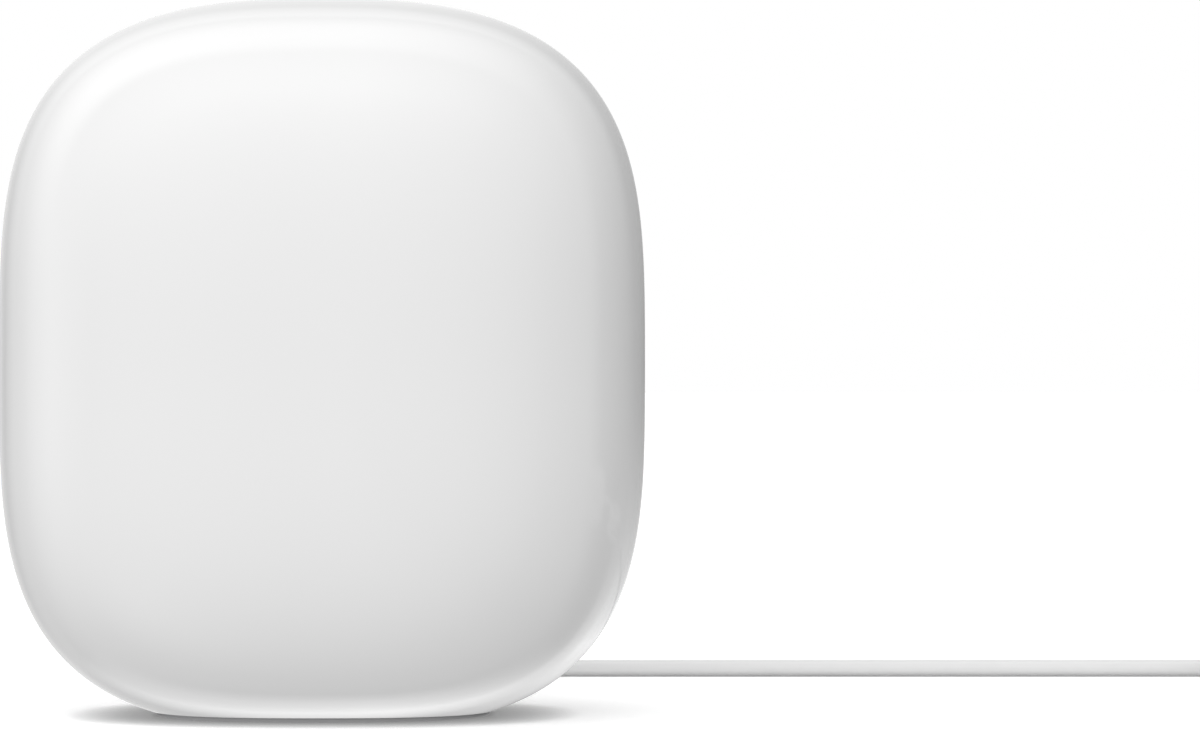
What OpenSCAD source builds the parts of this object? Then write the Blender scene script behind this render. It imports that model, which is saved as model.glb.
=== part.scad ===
// Free-standing wireless mesh router: a glossy pebble on a small foot, with its power lead and wall adapter.
// +X is to the right seen from the front, +Y is to the rear, +Z is up.
// The origin is on the floor, under the middle of the pebble. Lengths are in millimetres.

/* [Pebble] */
// Width across the widest part
body_w = 117; // [116:0.5:119]
// Depth from the front face to the rear face
body_d = 85; // [84:0.5:87]
// Height from the floor to the top
body_h = 130; // [130:0.5:132]
// Wall thickness of the moulded shells
wall = 2.2; // [2:0.1:2.4]
// Height of the widest part above the floor
waist_z = 62; // [61:0.5:63]
// Where the front and rear shells meet, behind the middle
seam_y = 6; // [5.5:0.1:6.5]

/* [Foot] */
// Visible height of the rubber foot below the shells
foot_rise = 0.8; // [0.8:0.05:1]
// Width of the oval opening for the base plate
base_w = 57; // [56:0.5:57]
// Depth of the oval opening for the base plate
base_d = 38; // [37:0.5:38]

/* [Ports] */
// Height of the middle of every port
port_z = 20.4; // [20.2:0.1:20.6]
// Width of the recess around the ports
recess_w = 62; // [61.5:0.1:62.5]
// Height of the recess around the ports
recess_h = 24; // [23.6:0.1:24.4]
// Distance of the port panel's outer face behind the middle
panel_y = 21; // [20.9:0.05:21.1]
// Travel of the reset button
reset_travel = 0.8; // [0.5:0.1:1]

/* [Power lead] */
// Diameter of the round power cord
cord_d = 3.3; // [3.2:0.05:3.3]
// Outer diameter of the plug's barrel
barrel_d = 5.5; // [5.4:0.05:5.5]
// Length of the plug's barrel
barrel_l = 9.5; // [9:0.1:9.5]

/* [Adapter] */
// Width of the wall adapter
adapter_w = 46; // [44:1:46]
// Length of the wall adapter
adapter_l = 62; // [60:1:62]
// Thickness of the wall adapter's case
adapter_t = 30; // [30:0.5:31]

/* [Hidden] */
$fn = 48;
eps = 0.01;

// Pebble outline: half width and half height follow a superellipse, with its own pair of powers
// above and below the waist. The half depth does the same with rounder powers.
half_w = body_w / 2;
half_d = body_d / 2;
crown_h = body_h - waist_z;
tuck_h = 64.4;
crown_power_w = [2.7, 3.7];
tuck_power_w = [2.9, 3.4];
crown_power_d = [2.5, 3.1];
tuck_power_d = [2.8, 3.0];
section_power = 2.5;
rim_points = 64;
tuck_rows = 9;
crown_rows = 12;
rear_clear = 0.15;

// Tongue on the front shell that locates the rear shell
tongue_l = 3;
tongue_t = 1.0;
tongue_gap = 0.1;

// Printed circuit board
board_w = 84;
board_z = [11, 104];
board_t = 1.6;
board_front_y = -2;
board_back_y = board_front_y + board_t;
board_screws_at = [[-35, 34], [35, 34], [-35, 92], [35, 92]];
screw_r = 1.4;
screw_hole_r = 1.6;
boss_hole_r = 1.45;

// Chassis frame and antenna cables
coax_r = 0.5;
frame_y = [-7, 5];
frame_inset = 4.2;
frame_band = 4.8;
foot_block = [52, 19, 5.1];
foot_block_z = 3.4;
base_screws_at = [[-20, -6], [20, -6], [-20, 6], [20, 6]];
base_gap = 0.2;

// Ports, from left to right as seen from the rear
dc_x = 21;
wan_x = 3.5;
lan_x = -14.5;
reset_x = -26.2;
reset_r = 1.7;
stem_r = 1.5;
panel_t = 1.5;
recess_r = 8;
recess_wall = 1.6;
jack_w = 16;
jack_h = 13.4;
jack_skin = 0.3;
jack_cavity_w = 11.9;
jack_cavity_h = 6.9;
jack_cavity_l = 14;
dc_bore_r = 2.85;
dc_bore_l = 10.5;
dc_pin_r = 1.0;
dc_nose_r = 4.5;

// Power cord: centre points from the plug to the coil, and from the coil to the adapter
cord_r = cord_d / 2;
coil_columns = 3;
coil_layers = 4;
lead_y = 96;
coil_x = 200;
coil_r_in = 16.5;
coil_r_base = coil_r_in + coil_columns * cord_d;
coil_y = lead_y - coil_r_base;
tie_angle = 40;
tie_w = 7;
tie_t = 0.6;
plug_grip_l = 18;
plug_relief_l = 13;
lead_route = concat(
    [
        [21, 52, 20.4], [21, 57, 20.2], [21, 62, 19.1], [21, 67, 16.9], [21, 71, 14.5], [21, 75, 11.7],
        [21.7, 80.4, 8.1], [23.8, 85.5, 5.3], [27.2, 89.8, 3.3], [31.5, 93.2, 2.2], [36.6, 95.3, 1.75],
        [42, 96, 1.65]
    ],
    [for (x = [50:8:190]) [x, 96, 1.65]],
    [[196, 95.9, 1.65]]
);
tail_route = [
    [223.1, 64, 11.6], [223.1, 58, 11.8], [223.1, 52, 12.3], [223.1, 46, 13.2], [223, 40, 14.3],
    [223, 36, 14.8], [223, 32.5, 15], [223, 26, 15], [223, 20, 15], [223, 14, 15]
];

// Wall adapter, lying on its front face with the blades up
adapter_x = 223;
adapter_y = -11;
adapter_split_z = 17;
adapter_power = 3.2;
adapter_wall = 2;
blade = [1.5, 6.3, 16];
blade_pitch = 12.7;
adapter_cord_z = 15;

// ---------------------------------------------------------------- helpers

function half_of(size, z, inset, crown, tuck) =
    let (
        up = z >= waist_z,
        p = up ? crown : tuck,
        t = min(1, abs(z - waist_z) / ((up ? crown_h : tuck_h) - inset))
    ) (size - inset) * pow(1 - pow(t, p[1]), 1 / p[0]);

function pebble_w(z, inset) = half_of(half_w, z, inset, crown_power_w, tuck_power_w);
function pebble_d(z, inset) = half_of(half_d, z, inset, crown_power_d, tuck_power_d);

function power_of(value, power) = sign(value) * pow(abs(value), 2 / power);

function oval(rx, ry, power, count) = [
    for (i = [0:count - 1])
        let (a = 360 * i / count) [rx * power_of(cos(a), power), ry * power_of(sin(a), power)]
];

// Heights of the rings, close together where the outline turns fast
function pebble_rows(inset, low) =
    let (
        tuck = tuck_h - inset,
        crown = crown_h - inset,
        end = asin(pow(min(1, (waist_z - low) / tuck), tuck_power_w[1] / 2))
    ) concat(
        [for (i = [tuck_rows:-1:1]) waist_z - tuck * pow(sin(end * i / tuck_rows), 2 / tuck_power_w[1])],
        [for (i = [0:crown_rows - 1]) waist_z + crown * pow(sin(90 * i / crown_rows), 2 / crown_power_w[1])]
    );

// A closed solid through rings of equal count, from the lowest to the highest
module loft(rings, top) {
    count = len(rings[0]);
    last = (len(rings) - 1) * count;
    points = concat([for (ring = rings) each ring], [top]);
    sides = [
        for (r = [0:len(rings) - 2], i = [0:count - 1])
            let (a = r * count + i, b = r * count + (i + 1) % count)
                each [[a, a + count, b], [b, a + count, b + count]]
    ];
    cap = [for (i = [0:count - 1]) [last + i, len(points) - 1, last + (i + 1) % count]];
    polyhedron(concat(points), concat([[for (i = [0:count - 1]) i]], sides, cap), convexity = 6);
}

module pebble(inset, low) {
    rows = pebble_rows(inset, low);
    rings = [
        for (z = rows) [
            for (p = oval(pebble_w(z, inset), pebble_d(z, inset), section_power, rim_points)) [p[0], p[1], z]
        ]
    ];
    loft(rings, [0, 0, waist_z + crown_h - inset]);
}

// Space between two depths
module slab(y0, y1) translate([-100, y0, -10]) cube([200, y1 - y0, 160]);

// A flat shape drawn in X and Z, given thickness between two depths
module upright(y0, y1) translate([0, y1, 0]) rotate([90, 0, 0]) linear_extrude(y1 - y0) children();

// A round rod along Y
module rod_y(x, z, y0, y1, r) translate([x, y1, z]) rotate([90, 0, 0]) cylinder(r = r, h = y1 - y0);

module rounded(w, h, r) {
    square([w - 2 * r, h], center = true);
    square([w, h - 2 * r], center = true);
    for (x = [-1, 1], y = [-1, 1]) translate([x * (w / 2 - r), y * (h / 2 - r)]) circle(r);
}

module brick(x, y, z) translate([x[0], y[0], z[0]]) cube([x[1] - x[0], y[1] - y[0], z[1] - z[0]]);

// Front outline of the pebble, drawn in X and Z, from a given height up
module outline(inset, low) {
    crown = crown_h - inset;
    low_z = max(low, waist_z - tuck_h + inset);
    side = concat(
        [for (i = [0:14]) low_z + (waist_z - low_z) * (1 - pow(1 - i / 15, 2))],
        [for (i = [0:24]) waist_z + crown * pow(sin(90 * i / 24), 2 / crown_power_w[1])]
    );
    right = [for (z = side) [pebble_w(z, inset), z]];
    polygon(concat(right, [for (i = [len(right) - 2:-1:0]) [-right[i][0], right[i][1]]]));
}

// ---------------------------------------------------------------- shells

module recess_shape(grow)
    translate([0, port_z]) rounded(recess_w + 2 * grow, recess_h + 2 * grow, recess_r + grow);

// A tapered rib in the XZ plane, thick at the wall end and thin at the frame end
module rib(size, thick_y, thin_y, grow) hull() {
    translate([size[0], thin_y, size[2]]) cube([size[1] - size[0], eps, size[3] - size[2]]);
    translate([size[0] - grow[0], thick_y, size[2] - grow[1]])
        cube([size[1] - size[0] + 2 * grow[0], eps, size[3] - size[2] + 2 * grow[1]]);
}

// Ribs that run from the shell's wall to the chassis frame and clamp it
module shell_ribs(wall_y, frame_face_y, inset) intersection() {
    pebble(inset, foot_rise);
    union() {
        for (side = [-1, 1], z = [46, 64, 82])
            rib([side * 48.5 - 4, side * 48.5 + 4, z, z + 1.5], wall_y, frame_face_y, [0, 0.5]);
        for (x = [-3, 3]) rib([x - 0.75, x + 0.75, 112, 127], wall_y, frame_face_y, [0.5, 0]);
    }
}

module shell_wall() {
    difference() {
        pebble(0, foot_rise);
        pebble(wall, foot_rise + 0.2);
        translate([0, 0, -1])
            linear_extrude(6) polygon(oval(base_w / 2, base_d / 2, section_power, rim_points));
    }
}

module front_shell() color("white") {
    intersection() {
        shell_wall();
        slab(-60, seam_y);
    }
    intersection() {
        difference() {
            pebble(wall - tongue_t, foot_rise + 1);
            pebble(wall, foot_rise + 0.2);
            translate([0, 0, -1]) linear_extrude(6) polygon(oval(31, 21, section_power, rim_points));
        }
        slab(seam_y - 0.5, seam_y + tongue_l);
    }
    shell_ribs(-32, frame_y[0], wall - 0.1);
}

module rear_shell() color("white") {
    difference() {
        union() {
            intersection() {
                shell_wall();
                slab(seam_y + rear_clear, 60);
            }
            intersection() {
                pebble(wall / 2, foot_rise);
                upright(panel_y, 60) recess_shape(recess_wall);
            }
        }
        intersection() {
            pebble(wall - tongue_t - tongue_gap, foot_rise + 0.2);
            slab(-60, seam_y + tongue_l + 0.2);
        }
        upright(panel_y - 1, 60) recess_shape(0);
    }
    shell_ribs(32, frame_y[1], wall + 0.3);
    intersection() {
        shell_ribs(32, frame_y[1], wall - 0.1);
        slab(seam_y + tongue_l + 0.3, 60);
    }
}

module base_plate() color("gainsboro") difference() {
    translate([0, 0, foot_rise])
        linear_extrude(2.4)
            polygon(oval(base_w / 2 - base_gap, base_d / 2 - base_gap, section_power, rim_points));
    translate([0, 0, foot_rise - 1])
        linear_extrude(1.8)
            polygon(oval(base_w / 2 - 2.5, base_d / 2 - 2.5, section_power, rim_points));
    for (at = base_screws_at) translate([at[0], at[1], 0]) cylinder(r = screw_hole_r, h = 6);
}

module foot_pad() color("darkgray") difference() {
    union() {
        linear_extrude(foot_rise) polygon(oval(30.3, 20.6, section_power, rim_points));
        linear_extrude(foot_rise + 0.7)
            polygon(oval(base_w / 2 - 2.7, base_d / 2 - 2.7, section_power, rim_points));
    }
    for (at = base_screws_at) translate([at[0], at[1], foot_rise - 0.4]) cylinder(r = 3, h = 2);
}

module base_screws() color("silver") for (at = base_screws_at)
    translate([at[0], at[1], foot_rise - 0.3]) difference() {
        union() {
            cylinder(r = 2.7, h = 1.05);
            cylinder(r = screw_r, h = 7);
        }
        translate([0, 0, -0.1]) cylinder(r = 1.1, h = 0.6, $fn = 6);
    }

// ---------------------------------------------------------------- chassis and board

module chassis_frame() color("dimgray") difference() {
    union() {
        upright(frame_y[0], frame_y[1]) difference() {
            outline(frame_inset, foot_block_z);
            outline(frame_inset + frame_band, 0);
            translate([-14, 0]) square([28, 12]);
        }
        for (at = board_screws_at) {
            rod_y(at[0], at[1], board_back_y, frame_y[1], 4);
            arm_x = at[0] > 0 ? [35, 49] : [-49, -35];
            brick(arm_x, [board_back_y, frame_y[1]], [at[1] - 3, at[1] + 3]);
        }
        translate([-foot_block[0] / 2, -foot_block[1] / 2, foot_block_z]) cube(foot_block);
    }
    for (at = board_screws_at) rod_y(at[0], at[1], -3, frame_y[1] + 1, boss_hole_r);
    for (at = base_screws_at) translate([at[0], at[1], foot_block_z - 1]) cylinder(r = boss_hole_r, h = 5.6);
}

module main_board() color("darkgreen") difference() {
    upright(board_front_y, board_back_y) {
        mid = (board_z[0] + board_z[1]) / 2;
        translate([0, mid]) square([board_w, board_z[1] - board_z[0] - 44], center = true);
        for (side = [-1, 1]) {
            translate([side * (board_w / 2 - 22), board_z[0] + 22]) circle(22);
            translate([side * (board_w / 2 - 12), board_z[1] - 12]) circle(12);
        }
        translate([0, board_z[0] + 22]) square([board_w - 44, 44], center = true);
        translate([0, board_z[1] - 20]) square([board_w - 24, 40], center = true);
        translate([0, board_z[1] - 26]) square([board_w, 28], center = true);
    }
    for (at = board_screws_at) rod_y(at[0], at[1], -4, 2, screw_hole_r);
}

module board_screws() color("silver") for (at = board_screws_at)
    difference() {
        union() {
            rod_y(at[0], at[1], -8.3 - 1.6, -8.3, 2.7);
            rod_y(at[0], at[1], -8.3, 3.6, screw_r);
        }
        translate([at[0], -9, at[1]]) rotate([90, 0, 0]) cylinder(r = 1.1, h = 2, $fn = 6);
    }

module front_heat_sink() color("lightgray") difference() {
    union() {
        brick([-40, 40], [-8.3, -5.3], [29, 98]);
        for (x = [-28:7:28]) brick([x - 0.75, x + 0.75], [-18.3, -8.3], [31, 96]);
        for (at = board_screws_at) rod_y(at[0], at[1], -5.3, board_front_y, 3.5);
    }
    for (at = board_screws_at) rod_y(at[0], at[1], -12, 0, screw_hole_r);
}

module rear_heat_sink() color("lightgray") difference() {
    union() {
        brick([-30, 30], [1.6, 4.2], [56, 99]);
        for (x = [-24.5:7:24.5]) brick([x - 0.75, x + 0.75], [4.2, 16], [58, 97]);
    }
    for (x = [-28, 28]) rod_y(x, 77, 0, 6, 1.3);
}

module rear_heat_sink_screws() color("silver") for (x = [-28, 28]) {
    rod_y(x, 77, 4.2, 5.4, 2);
    rod_y(x, 77, board_back_y, 4.2, 1.1);
}

module thermal_pads() color("lightblue") {
    brick([-13, 13], [-5.3, -4.6], [55, 81]);
    for (x = [-28.5, 28.5]) brick([x - 7, x + 7], [-5.3, -4.6], [50, 82]);
    brick([-12, 12], [board_back_y, 1.6], [56, 80]);
}

module shield_can(x, z) difference() {
    brick(x, [-4.6, board_front_y], z);
    brick([x[0] + 0.3, x[1] - 0.3], [-4.3, 0], [z[0] + 0.3, z[1] - 0.3]);
}

module processor_shield() color("silver") shield_can([-16, 16], [52, 84]);

module radio_shields() color("silver") for (side = [-1, 1])
    shield_can([side * 28.5 - 10, side * 28.5 + 10], [46, 86]);

module chip(x, z, w, h, t)
    brick([x - w / 2, x + w / 2], [board_front_y - t, board_front_y], [z - h / 2, z + h / 2]);

module processor_chip() color("black") chip(-3, 70, 17, 17, 1.4);

module memory_chips() color("black") {
    chip(11, 70, 8, 12, 1.1);
    chip(-3, 57, 11, 7, 1.1);
}

module radio_chips() color("black") for (x = [-28.5, 28.5]) chip(x, 58, 10, 10, 1);

module front_end_modules() color("black") for (x = [-33, -24, 24, 33], z = [70, 79]) chip(x, z, 4, 3, 0.8);

module coax_sockets() color("gold") for (x = [-27, -12, 12, 27])
    rod_y(x, 101, board_front_y - 1.2, board_front_y, 1);

// Flexible printed antennas on the front of the chassis frame
module antenna(x, z) color("orange") upright(frame_y[0] - 0.3, frame_y[0]) intersection() {
    difference() {
        outline(frame_inset + 0.4, 20);
        outline(frame_inset + frame_band - 0.4, 0);
    }
    translate([x[0], z[0]]) square([x[1] - x[0], z[1] - z[0]]);
}

module antenna_left() antenna([-60, -40], [88, 108]);
module antenna_right() antenna([40, 60], [88, 108]);
module antenna_top_left() antenna([-36, -6], [112, 130]);
module antenna_top_right() antenna([6, 36], [112, 130]);

// Coaxial cables from the antennas to the board, each with its push-on plug
module antenna_cables() color("gray") for (side = [-1, 1]) {
    tube([
        [side * 47, -7.75, 104], [side * 44, -8, 105.5], [side * 39, -8, 106.5], [side * 33, -6.6, 105],
        [side * 29, -4.6, 102.5], [side * 27, -3.8, 101]
    ], coax_r, 8);
    tube([
        [side * 14.5, -7.75, 123], [side * 14, -8, 119], [side * 13, -7.9, 112], [side * 12.2, -6, 106],
        [side * 12, -4.4, 102.5], [side * 12.1, -3.8, 101]
    ], coax_r, 8);
    for (x = [12, 27]) rod_y(side * x, 101, board_front_y - 2.2, board_front_y - 1.2, 1.3);
}

module status_led() color("white") brick([-1.6, 1.6], [board_front_y - 0.8, board_front_y], [16.9, 18.5]);

module light_pipe() color("lightcyan") {
    rod_y(0, 17.7, -33, -4, 2);
    brick([-5, 5], [-4, -2.9], [13.7, 21.7]);
    for (x = [-4, 4]) rod_y(x, 14.8, -2.9, board_front_y, 0.8);
}

module power_inductors() color("dimgray") for (z = [36, 45.5])
    brick([20, 27.5], [board_back_y, 3.8], [z - 3.7, z + 3.7]);

module bulk_capacitors() color("slategray") for (z = [36, 46]) rod_y(-26, z, board_back_y, 8, 4);

module network_transformers() color("black") for (x = [wan_x + 2, lan_x + 2])
    brick([x - 7, x + 7], [board_back_y, 4.2], [31, 49]);

// ---------------------------------------------------------------- ports

module port_panel() color("whitesmoke") upright(panel_y - panel_t, panel_y) difference() {
    recess_shape(recess_wall);
    for (x = [wan_x, lan_x]) translate([x, port_z]) square([jack_w + 0.2, jack_h + 0.2], center = true);
    translate([dc_x, port_z]) circle(dc_nose_r + 0.1);
    translate([reset_x, port_z]) circle(reset_r + 0.08);
    for (x = [-18:4:18]) translate([x, port_z + 9.6]) square([2.4, 1.4], center = true);
}

module jack_housing(x) color("black") difference() {
    brick([x - jack_w / 2 + jack_skin, x + jack_w / 2 - jack_skin], [board_back_y, panel_y - 0.2],
        [port_z - jack_h / 2 + jack_skin, port_z + jack_h / 2 - jack_skin]);
    brick([x - jack_cavity_w / 2, x + jack_cavity_w / 2], [panel_y - jack_cavity_l, panel_y + 1],
        [port_z - 2.6, port_z - 2.6 + jack_cavity_h]);
    brick([x - 3.1, x + 3.1], [panel_y - jack_cavity_l + 3, panel_y + 1], [port_z - 4.1, port_z]);
    brick([x - 1.7, x + 1.7], [panel_y - jack_cavity_l + 3, panel_y + 1], [port_z - 5.5, port_z]);
}

module jack_shield(x) color("silver") difference() {
    brick([x - jack_w / 2, x + jack_w / 2], [board_back_y, panel_y],
        [port_z - jack_h / 2, port_z + jack_h / 2]);
    brick([x - jack_w / 2 + jack_skin, x + jack_w / 2 - jack_skin], [-2, panel_y + 1],
        [port_z - jack_h / 2 + jack_skin, port_z + jack_h / 2 - jack_skin]);
}

// A straight round wire in the YZ plane between two points
module straight_wire(from, to, r) {
    d = to - from;
    translate([0, from[0], from[1]]) rotate([atan2(d[1], d[0]) - 90, 0, 0]) cylinder(r = r, h = norm(d));
}

module jack_contacts(x) color("gold") for (i = [0:7])
    translate([x + (i - 3.5) * 1.02, 0, 0]) straight_wire([7.3, port_z + 3.9], [15.5, port_z + 1.2], 0.22);

module dc_jack_housing() color("black") difference() {
    union() {
        brick([dc_x - 5, dc_x + 5], [board_back_y, panel_y - panel_t - 0.1], [port_z - 5.5, port_z + 5.5]);
        rod_y(dc_x, port_z, panel_y - panel_t - 0.1, panel_y, dc_nose_r);
    }
    rod_y(dc_x, port_z, panel_y - dc_bore_l, panel_y + 1, dc_bore_r);
    rod_y(dc_x, port_z, 5, panel_y - dc_bore_l + 1, dc_pin_r);
    brick([dc_x - 0.9, dc_x + 0.9], [panel_y - dc_bore_l, panel_y - 3], [port_z + 2.5, port_z + 4.1]);
}

module dc_jack_pin() color("silver") {
    rod_y(dc_x, port_z, 5, panel_y - 1.5, dc_pin_r);
}

module dc_jack_spring() color("gold")
    brick([dc_x - 0.8, dc_x + 0.8], [panel_y - dc_bore_l + 0.2, panel_y - 3.2],
        [port_z + 3.1, port_z + 3.5]);

module reset_switch_body() color("black") difference() {
    brick([reset_x - 3, reset_x + 3], [board_back_y, 3.1], [port_z - 3, port_z + 3]);
    rod_y(reset_x, port_z, 1.1, 4, stem_r + 0.07);
}

module reset_switch_stem() color("ivory") rod_y(reset_x, port_z, 1.3 + reset_travel, 4.6, stem_r);

module reset_button() color("whitesmoke") {
    rod_y(reset_x, port_z, 4.6, panel_y - panel_t - 1.1, stem_r);
    rod_y(reset_x, port_z, panel_y - panel_t - 1.1, panel_y - panel_t - 0.05, 2.6);
    rod_y(reset_x, port_z, panel_y - panel_t - 1, panel_y + reset_travel + 0.1, reset_r);
}

// ---------------------------------------------------------------- power lead

plug_y = panel_y + 0.3;

module dc_plug_barrel() color("silver") difference() {
    rod_y(dc_x, port_z, plug_y - 0.3 - barrel_l, plug_y + 2, barrel_d / 2);
    rod_y(dc_x, port_z, plug_y - 1 - barrel_l, plug_y + 3, 1.9);
}

module dc_plug_insulator() color("black") difference() {
    rod_y(dc_x, port_z, plug_y - 0.3 - barrel_l, plug_y + 2, 1.9);
    rod_y(dc_x, port_z, plug_y - 1 - barrel_l, plug_y + 1, 1.06);
}

module dc_plug_grip() color("white") difference() {
    translate([dc_x, plug_y, port_z]) rotate([-90, 0, 0]) rotate_extrude() polygon([
        [0, 0], [4.4, 0], [5, 0.6], [5, 8], [4.7, 11], [4.1, 14], [3.6, plug_grip_l], [0, plug_grip_l]
    ]);
    rod_y(dc_x, port_z, plug_y - 1, plug_y + 2, barrel_d / 2);
}

// A tapered sleeve with ring grooves, along +Y from the given end
module relief(at, length, r0, r1, grooves) translate(at) rotate([-90, 0, 0]) difference() {
    cylinder(r1 = r0, r2 = r1, h = length);
    for (i = [1:grooves]) translate([0, 0, i * length / (grooves + 1) - 0.4]) difference() {
        cylinder(r = r0 + 1, h = 0.8);
        cylinder(r = r0 + (r1 - r0) * i / (grooves + 1) - 0.5, h = 0.8);
    }
}

module dc_plug_strain_relief() color("white")
    relief([dc_x, plug_y + plug_grip_l, port_z], plug_relief_l - 0.3, 3.1, 2.2, 4);

// A round tube through the centre points, with a flat ring across each
function tangent(route, i) =
    let (a = route[max(i - 1, 0)], b = route[min(i + 1, len(route) - 1)]) (b - a) / norm(b - a);

module tube(route, r, sides) {
    rings = [
        for (i = [0:len(route) - 1])
            let (
                t = tangent(route, i),
                across = cross(t, [0, 0, 1]) / norm(cross(t, [0, 0, 1])),
                up = cross(across, t)
            ) [
                for (k = [0:sides - 1])
                    let (a = 360 * (k + 0.5) / sides) route[i] + r * (cos(a) * across + sin(a) * up)
            ]
    ];
    last = len(rings) - 1;
    faces = [
        for (i = [0:last - 1], k = [0:sides - 1])
            let (a = i * sides + k, b = i * sides + (k + 1) % sides)
                each [[a, b, a + sides], [b, b + sides, a + sides]]
    ];
    ends = [[for (k = [sides - 1:-1:0]) k], [for (k = [0:sides - 1]) last * sides + k]];
    polyhedron([for (ring = rings) each ring], concat(faces, ends), convexity = 8);
}

module cord_lead() color("white") tube(lead_route, cord_r, 8);

module at_coil(angle) translate([coil_x, coil_y, 0]) rotate([0, 0, angle]) children();

// A stack of turns with one more turn round its foot
module cord_coil() color("white") difference() {
    at_coil(0) rotate_extrude($fn = 96) {
        translate([coil_r_in - cord_r + coil_columns * cord_r, coil_layers * cord_r])
            rounded(coil_columns * cord_d, coil_layers * cord_d, cord_r);
        translate([coil_r_base - cord_d, 0]) square([cord_d, cord_d / 2]);
        translate([coil_r_base, cord_r]) circle(cord_r);
    }
    at_coil(tie_angle) translate([0, -tie_w / 2 - 0.2, -1]) cube([40, tie_w + 0.4, tie_t + 1.1]);
}

module cord_tail() color("white") tube(tail_route, cord_r, 8);

module cord_tie() color("white") at_coil(tie_angle) difference() {
    tie_in = coil_r_in - cord_r - 0.6;
    tie_out = coil_r_base + cord_r + 0.1;
    translate([tie_in - tie_t, -tie_w / 2, 0])
        cube([tie_out - tie_in + 2 * tie_t, tie_w, coil_layers * cord_d + 2 * tie_t + 0.1]);
    translate([tie_in, -tie_w, tie_t]) cube([tie_out - tie_in, 2 * tie_w, coil_layers * cord_d + 0.1]);
}

// Where the cord runs through the sleeve and the case wall
module adapter_cord_bore()
    translate([adapter_x, 10, adapter_cord_z]) rotate([-90, 0, 0]) cylinder(r = cord_r + 0.01, h = 30);

module adapter_strain_relief() color("white") difference() {
    relief([adapter_x, adapter_y + adapter_l / 2, adapter_cord_z], 12.5, 3.4, 2.2, 4);
    adapter_cord_bore();
}

function case_ring(inset, z) = [
    for (p = oval(adapter_w / 2 - inset, adapter_l / 2 - inset, adapter_power, 40)) [p[0], p[1], z]
];

// The case as a rounded slab: its sides roll over to nearly flat faces
module adapter_solid(inset) {
    edge = 7;
    steps = 5;
    low = [
        for (i = [0:steps])
            let (a = 90 * i / steps) case_ring(inset + edge * (1 - sin(a)), inset + edge * (1 - cos(a)))
    ];
    high = [
        for (i = [steps:-1:0])
            let (a = 90 * i / steps)
                case_ring(inset + edge * (1 - sin(a)) * 0.5, adapter_t - inset - edge * (1 - cos(a)) * 0.5)
    ];
    translate([adapter_x, adapter_y, 0]) loft(concat(low, high), [0, 0, adapter_t - inset]);
}

module adapter_front_case() color("white") {
    difference() {
        adapter_solid(0);
        adapter_solid(adapter_wall);
        translate([adapter_x - 50, adapter_y - 50, adapter_split_z]) cube(100);
        adapter_cord_bore();
        translate([adapter_x - cord_r, 10, adapter_cord_z]) cube([2 * cord_r, 30, 5]);
    }
    for (x = [-11, 11], y = [-15, 15]) translate([adapter_x + x, adapter_y + y, 1]) cylinder(r = 2, h = 3.5);
}

module adapter_rear_case() color("white") difference() {
    adapter_solid(0);
    adapter_solid(adapter_wall);
    translate([adapter_x - 50, adapter_y - 50, adapter_split_z + 0.15 - 100]) cube(100);
    for (side = [-1, 1])
        translate([adapter_x + side * blade_pitch / 2, adapter_y - 8, 30])
            cube([blade[0] + 0.1, blade[1] + 0.1, 20], center = true);
}

module adapter_blades() color("silver") for (side = [-1, 1]) difference() {
    translate([adapter_x + side * blade_pitch / 2, adapter_y - 8, adapter_t + blade[2] / 2 - 4])
        cube([blade[0], blade[1], blade[2] + 8], center = true);
    translate([adapter_x - 20, adapter_y - 8, adapter_t + 11.7])
        rotate([0, 90, 0]) cylinder(r = 1.6, h = 40);
}

module adapter_board() color("darkgreen")
    brick([adapter_x - 15, adapter_x + 15], [adapter_y - 20, adapter_y + 20], [4.5, 6.1]);

module adapter_transformer() color("gold")
    brick([adapter_x - 9, adapter_x + 9], [adapter_y - 12, adapter_y + 8], [6.1, 19.5]);

module adapter_capacitor() color("black")
    translate([adapter_x - 7, adapter_y + 14, 6.1]) cylinder(r = 5, h = 14);

// ---------------------------------------------------------------- assembly

front_shell();
rear_shell();
base_plate();
foot_pad();
base_screws();
chassis_frame();
main_board();
board_screws();
front_heat_sink();
rear_heat_sink();
rear_heat_sink_screws();
thermal_pads();
processor_shield();
radio_shields();
processor_chip();
memory_chips();
radio_chips();
front_end_modules();
coax_sockets();
antenna_left();
antenna_right();
antenna_top_left();
antenna_top_right();
antenna_cables();
status_led();
light_pipe();
power_inductors();
bulk_capacitors();
network_transformers();
port_panel();
jack_housing(wan_x);  // wan_jack_housing
jack_shield(wan_x);  // wan_jack_shield
jack_contacts(wan_x);  // wan_jack_contacts
jack_housing(lan_x);  // lan_jack_housing
jack_shield(lan_x);  // lan_jack_shield
jack_contacts(lan_x);  // lan_jack_contacts
dc_jack_housing();
dc_jack_pin();
dc_jack_spring();
reset_switch_body();
reset_switch_stem();
reset_button();
dc_plug_barrel();
dc_plug_insulator();
dc_plug_grip();
dc_plug_strain_relief();
cord_lead();
cord_coil();
cord_tail();
cord_tie();
adapter_strain_relief();
adapter_front_case();
adapter_rear_case();
adapter_blades();
adapter_board();
adapter_transformer();
adapter_capacitor();
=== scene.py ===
"""Looks of an upright, pebble-shaped wireless router with its power lead and wall adapter."""

import contextlib
import math
import random

import bmesh
import bpy
from mathutils import Matrix, Vector
from mathutils.geometry import delaunay_2d_cdt


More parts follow.
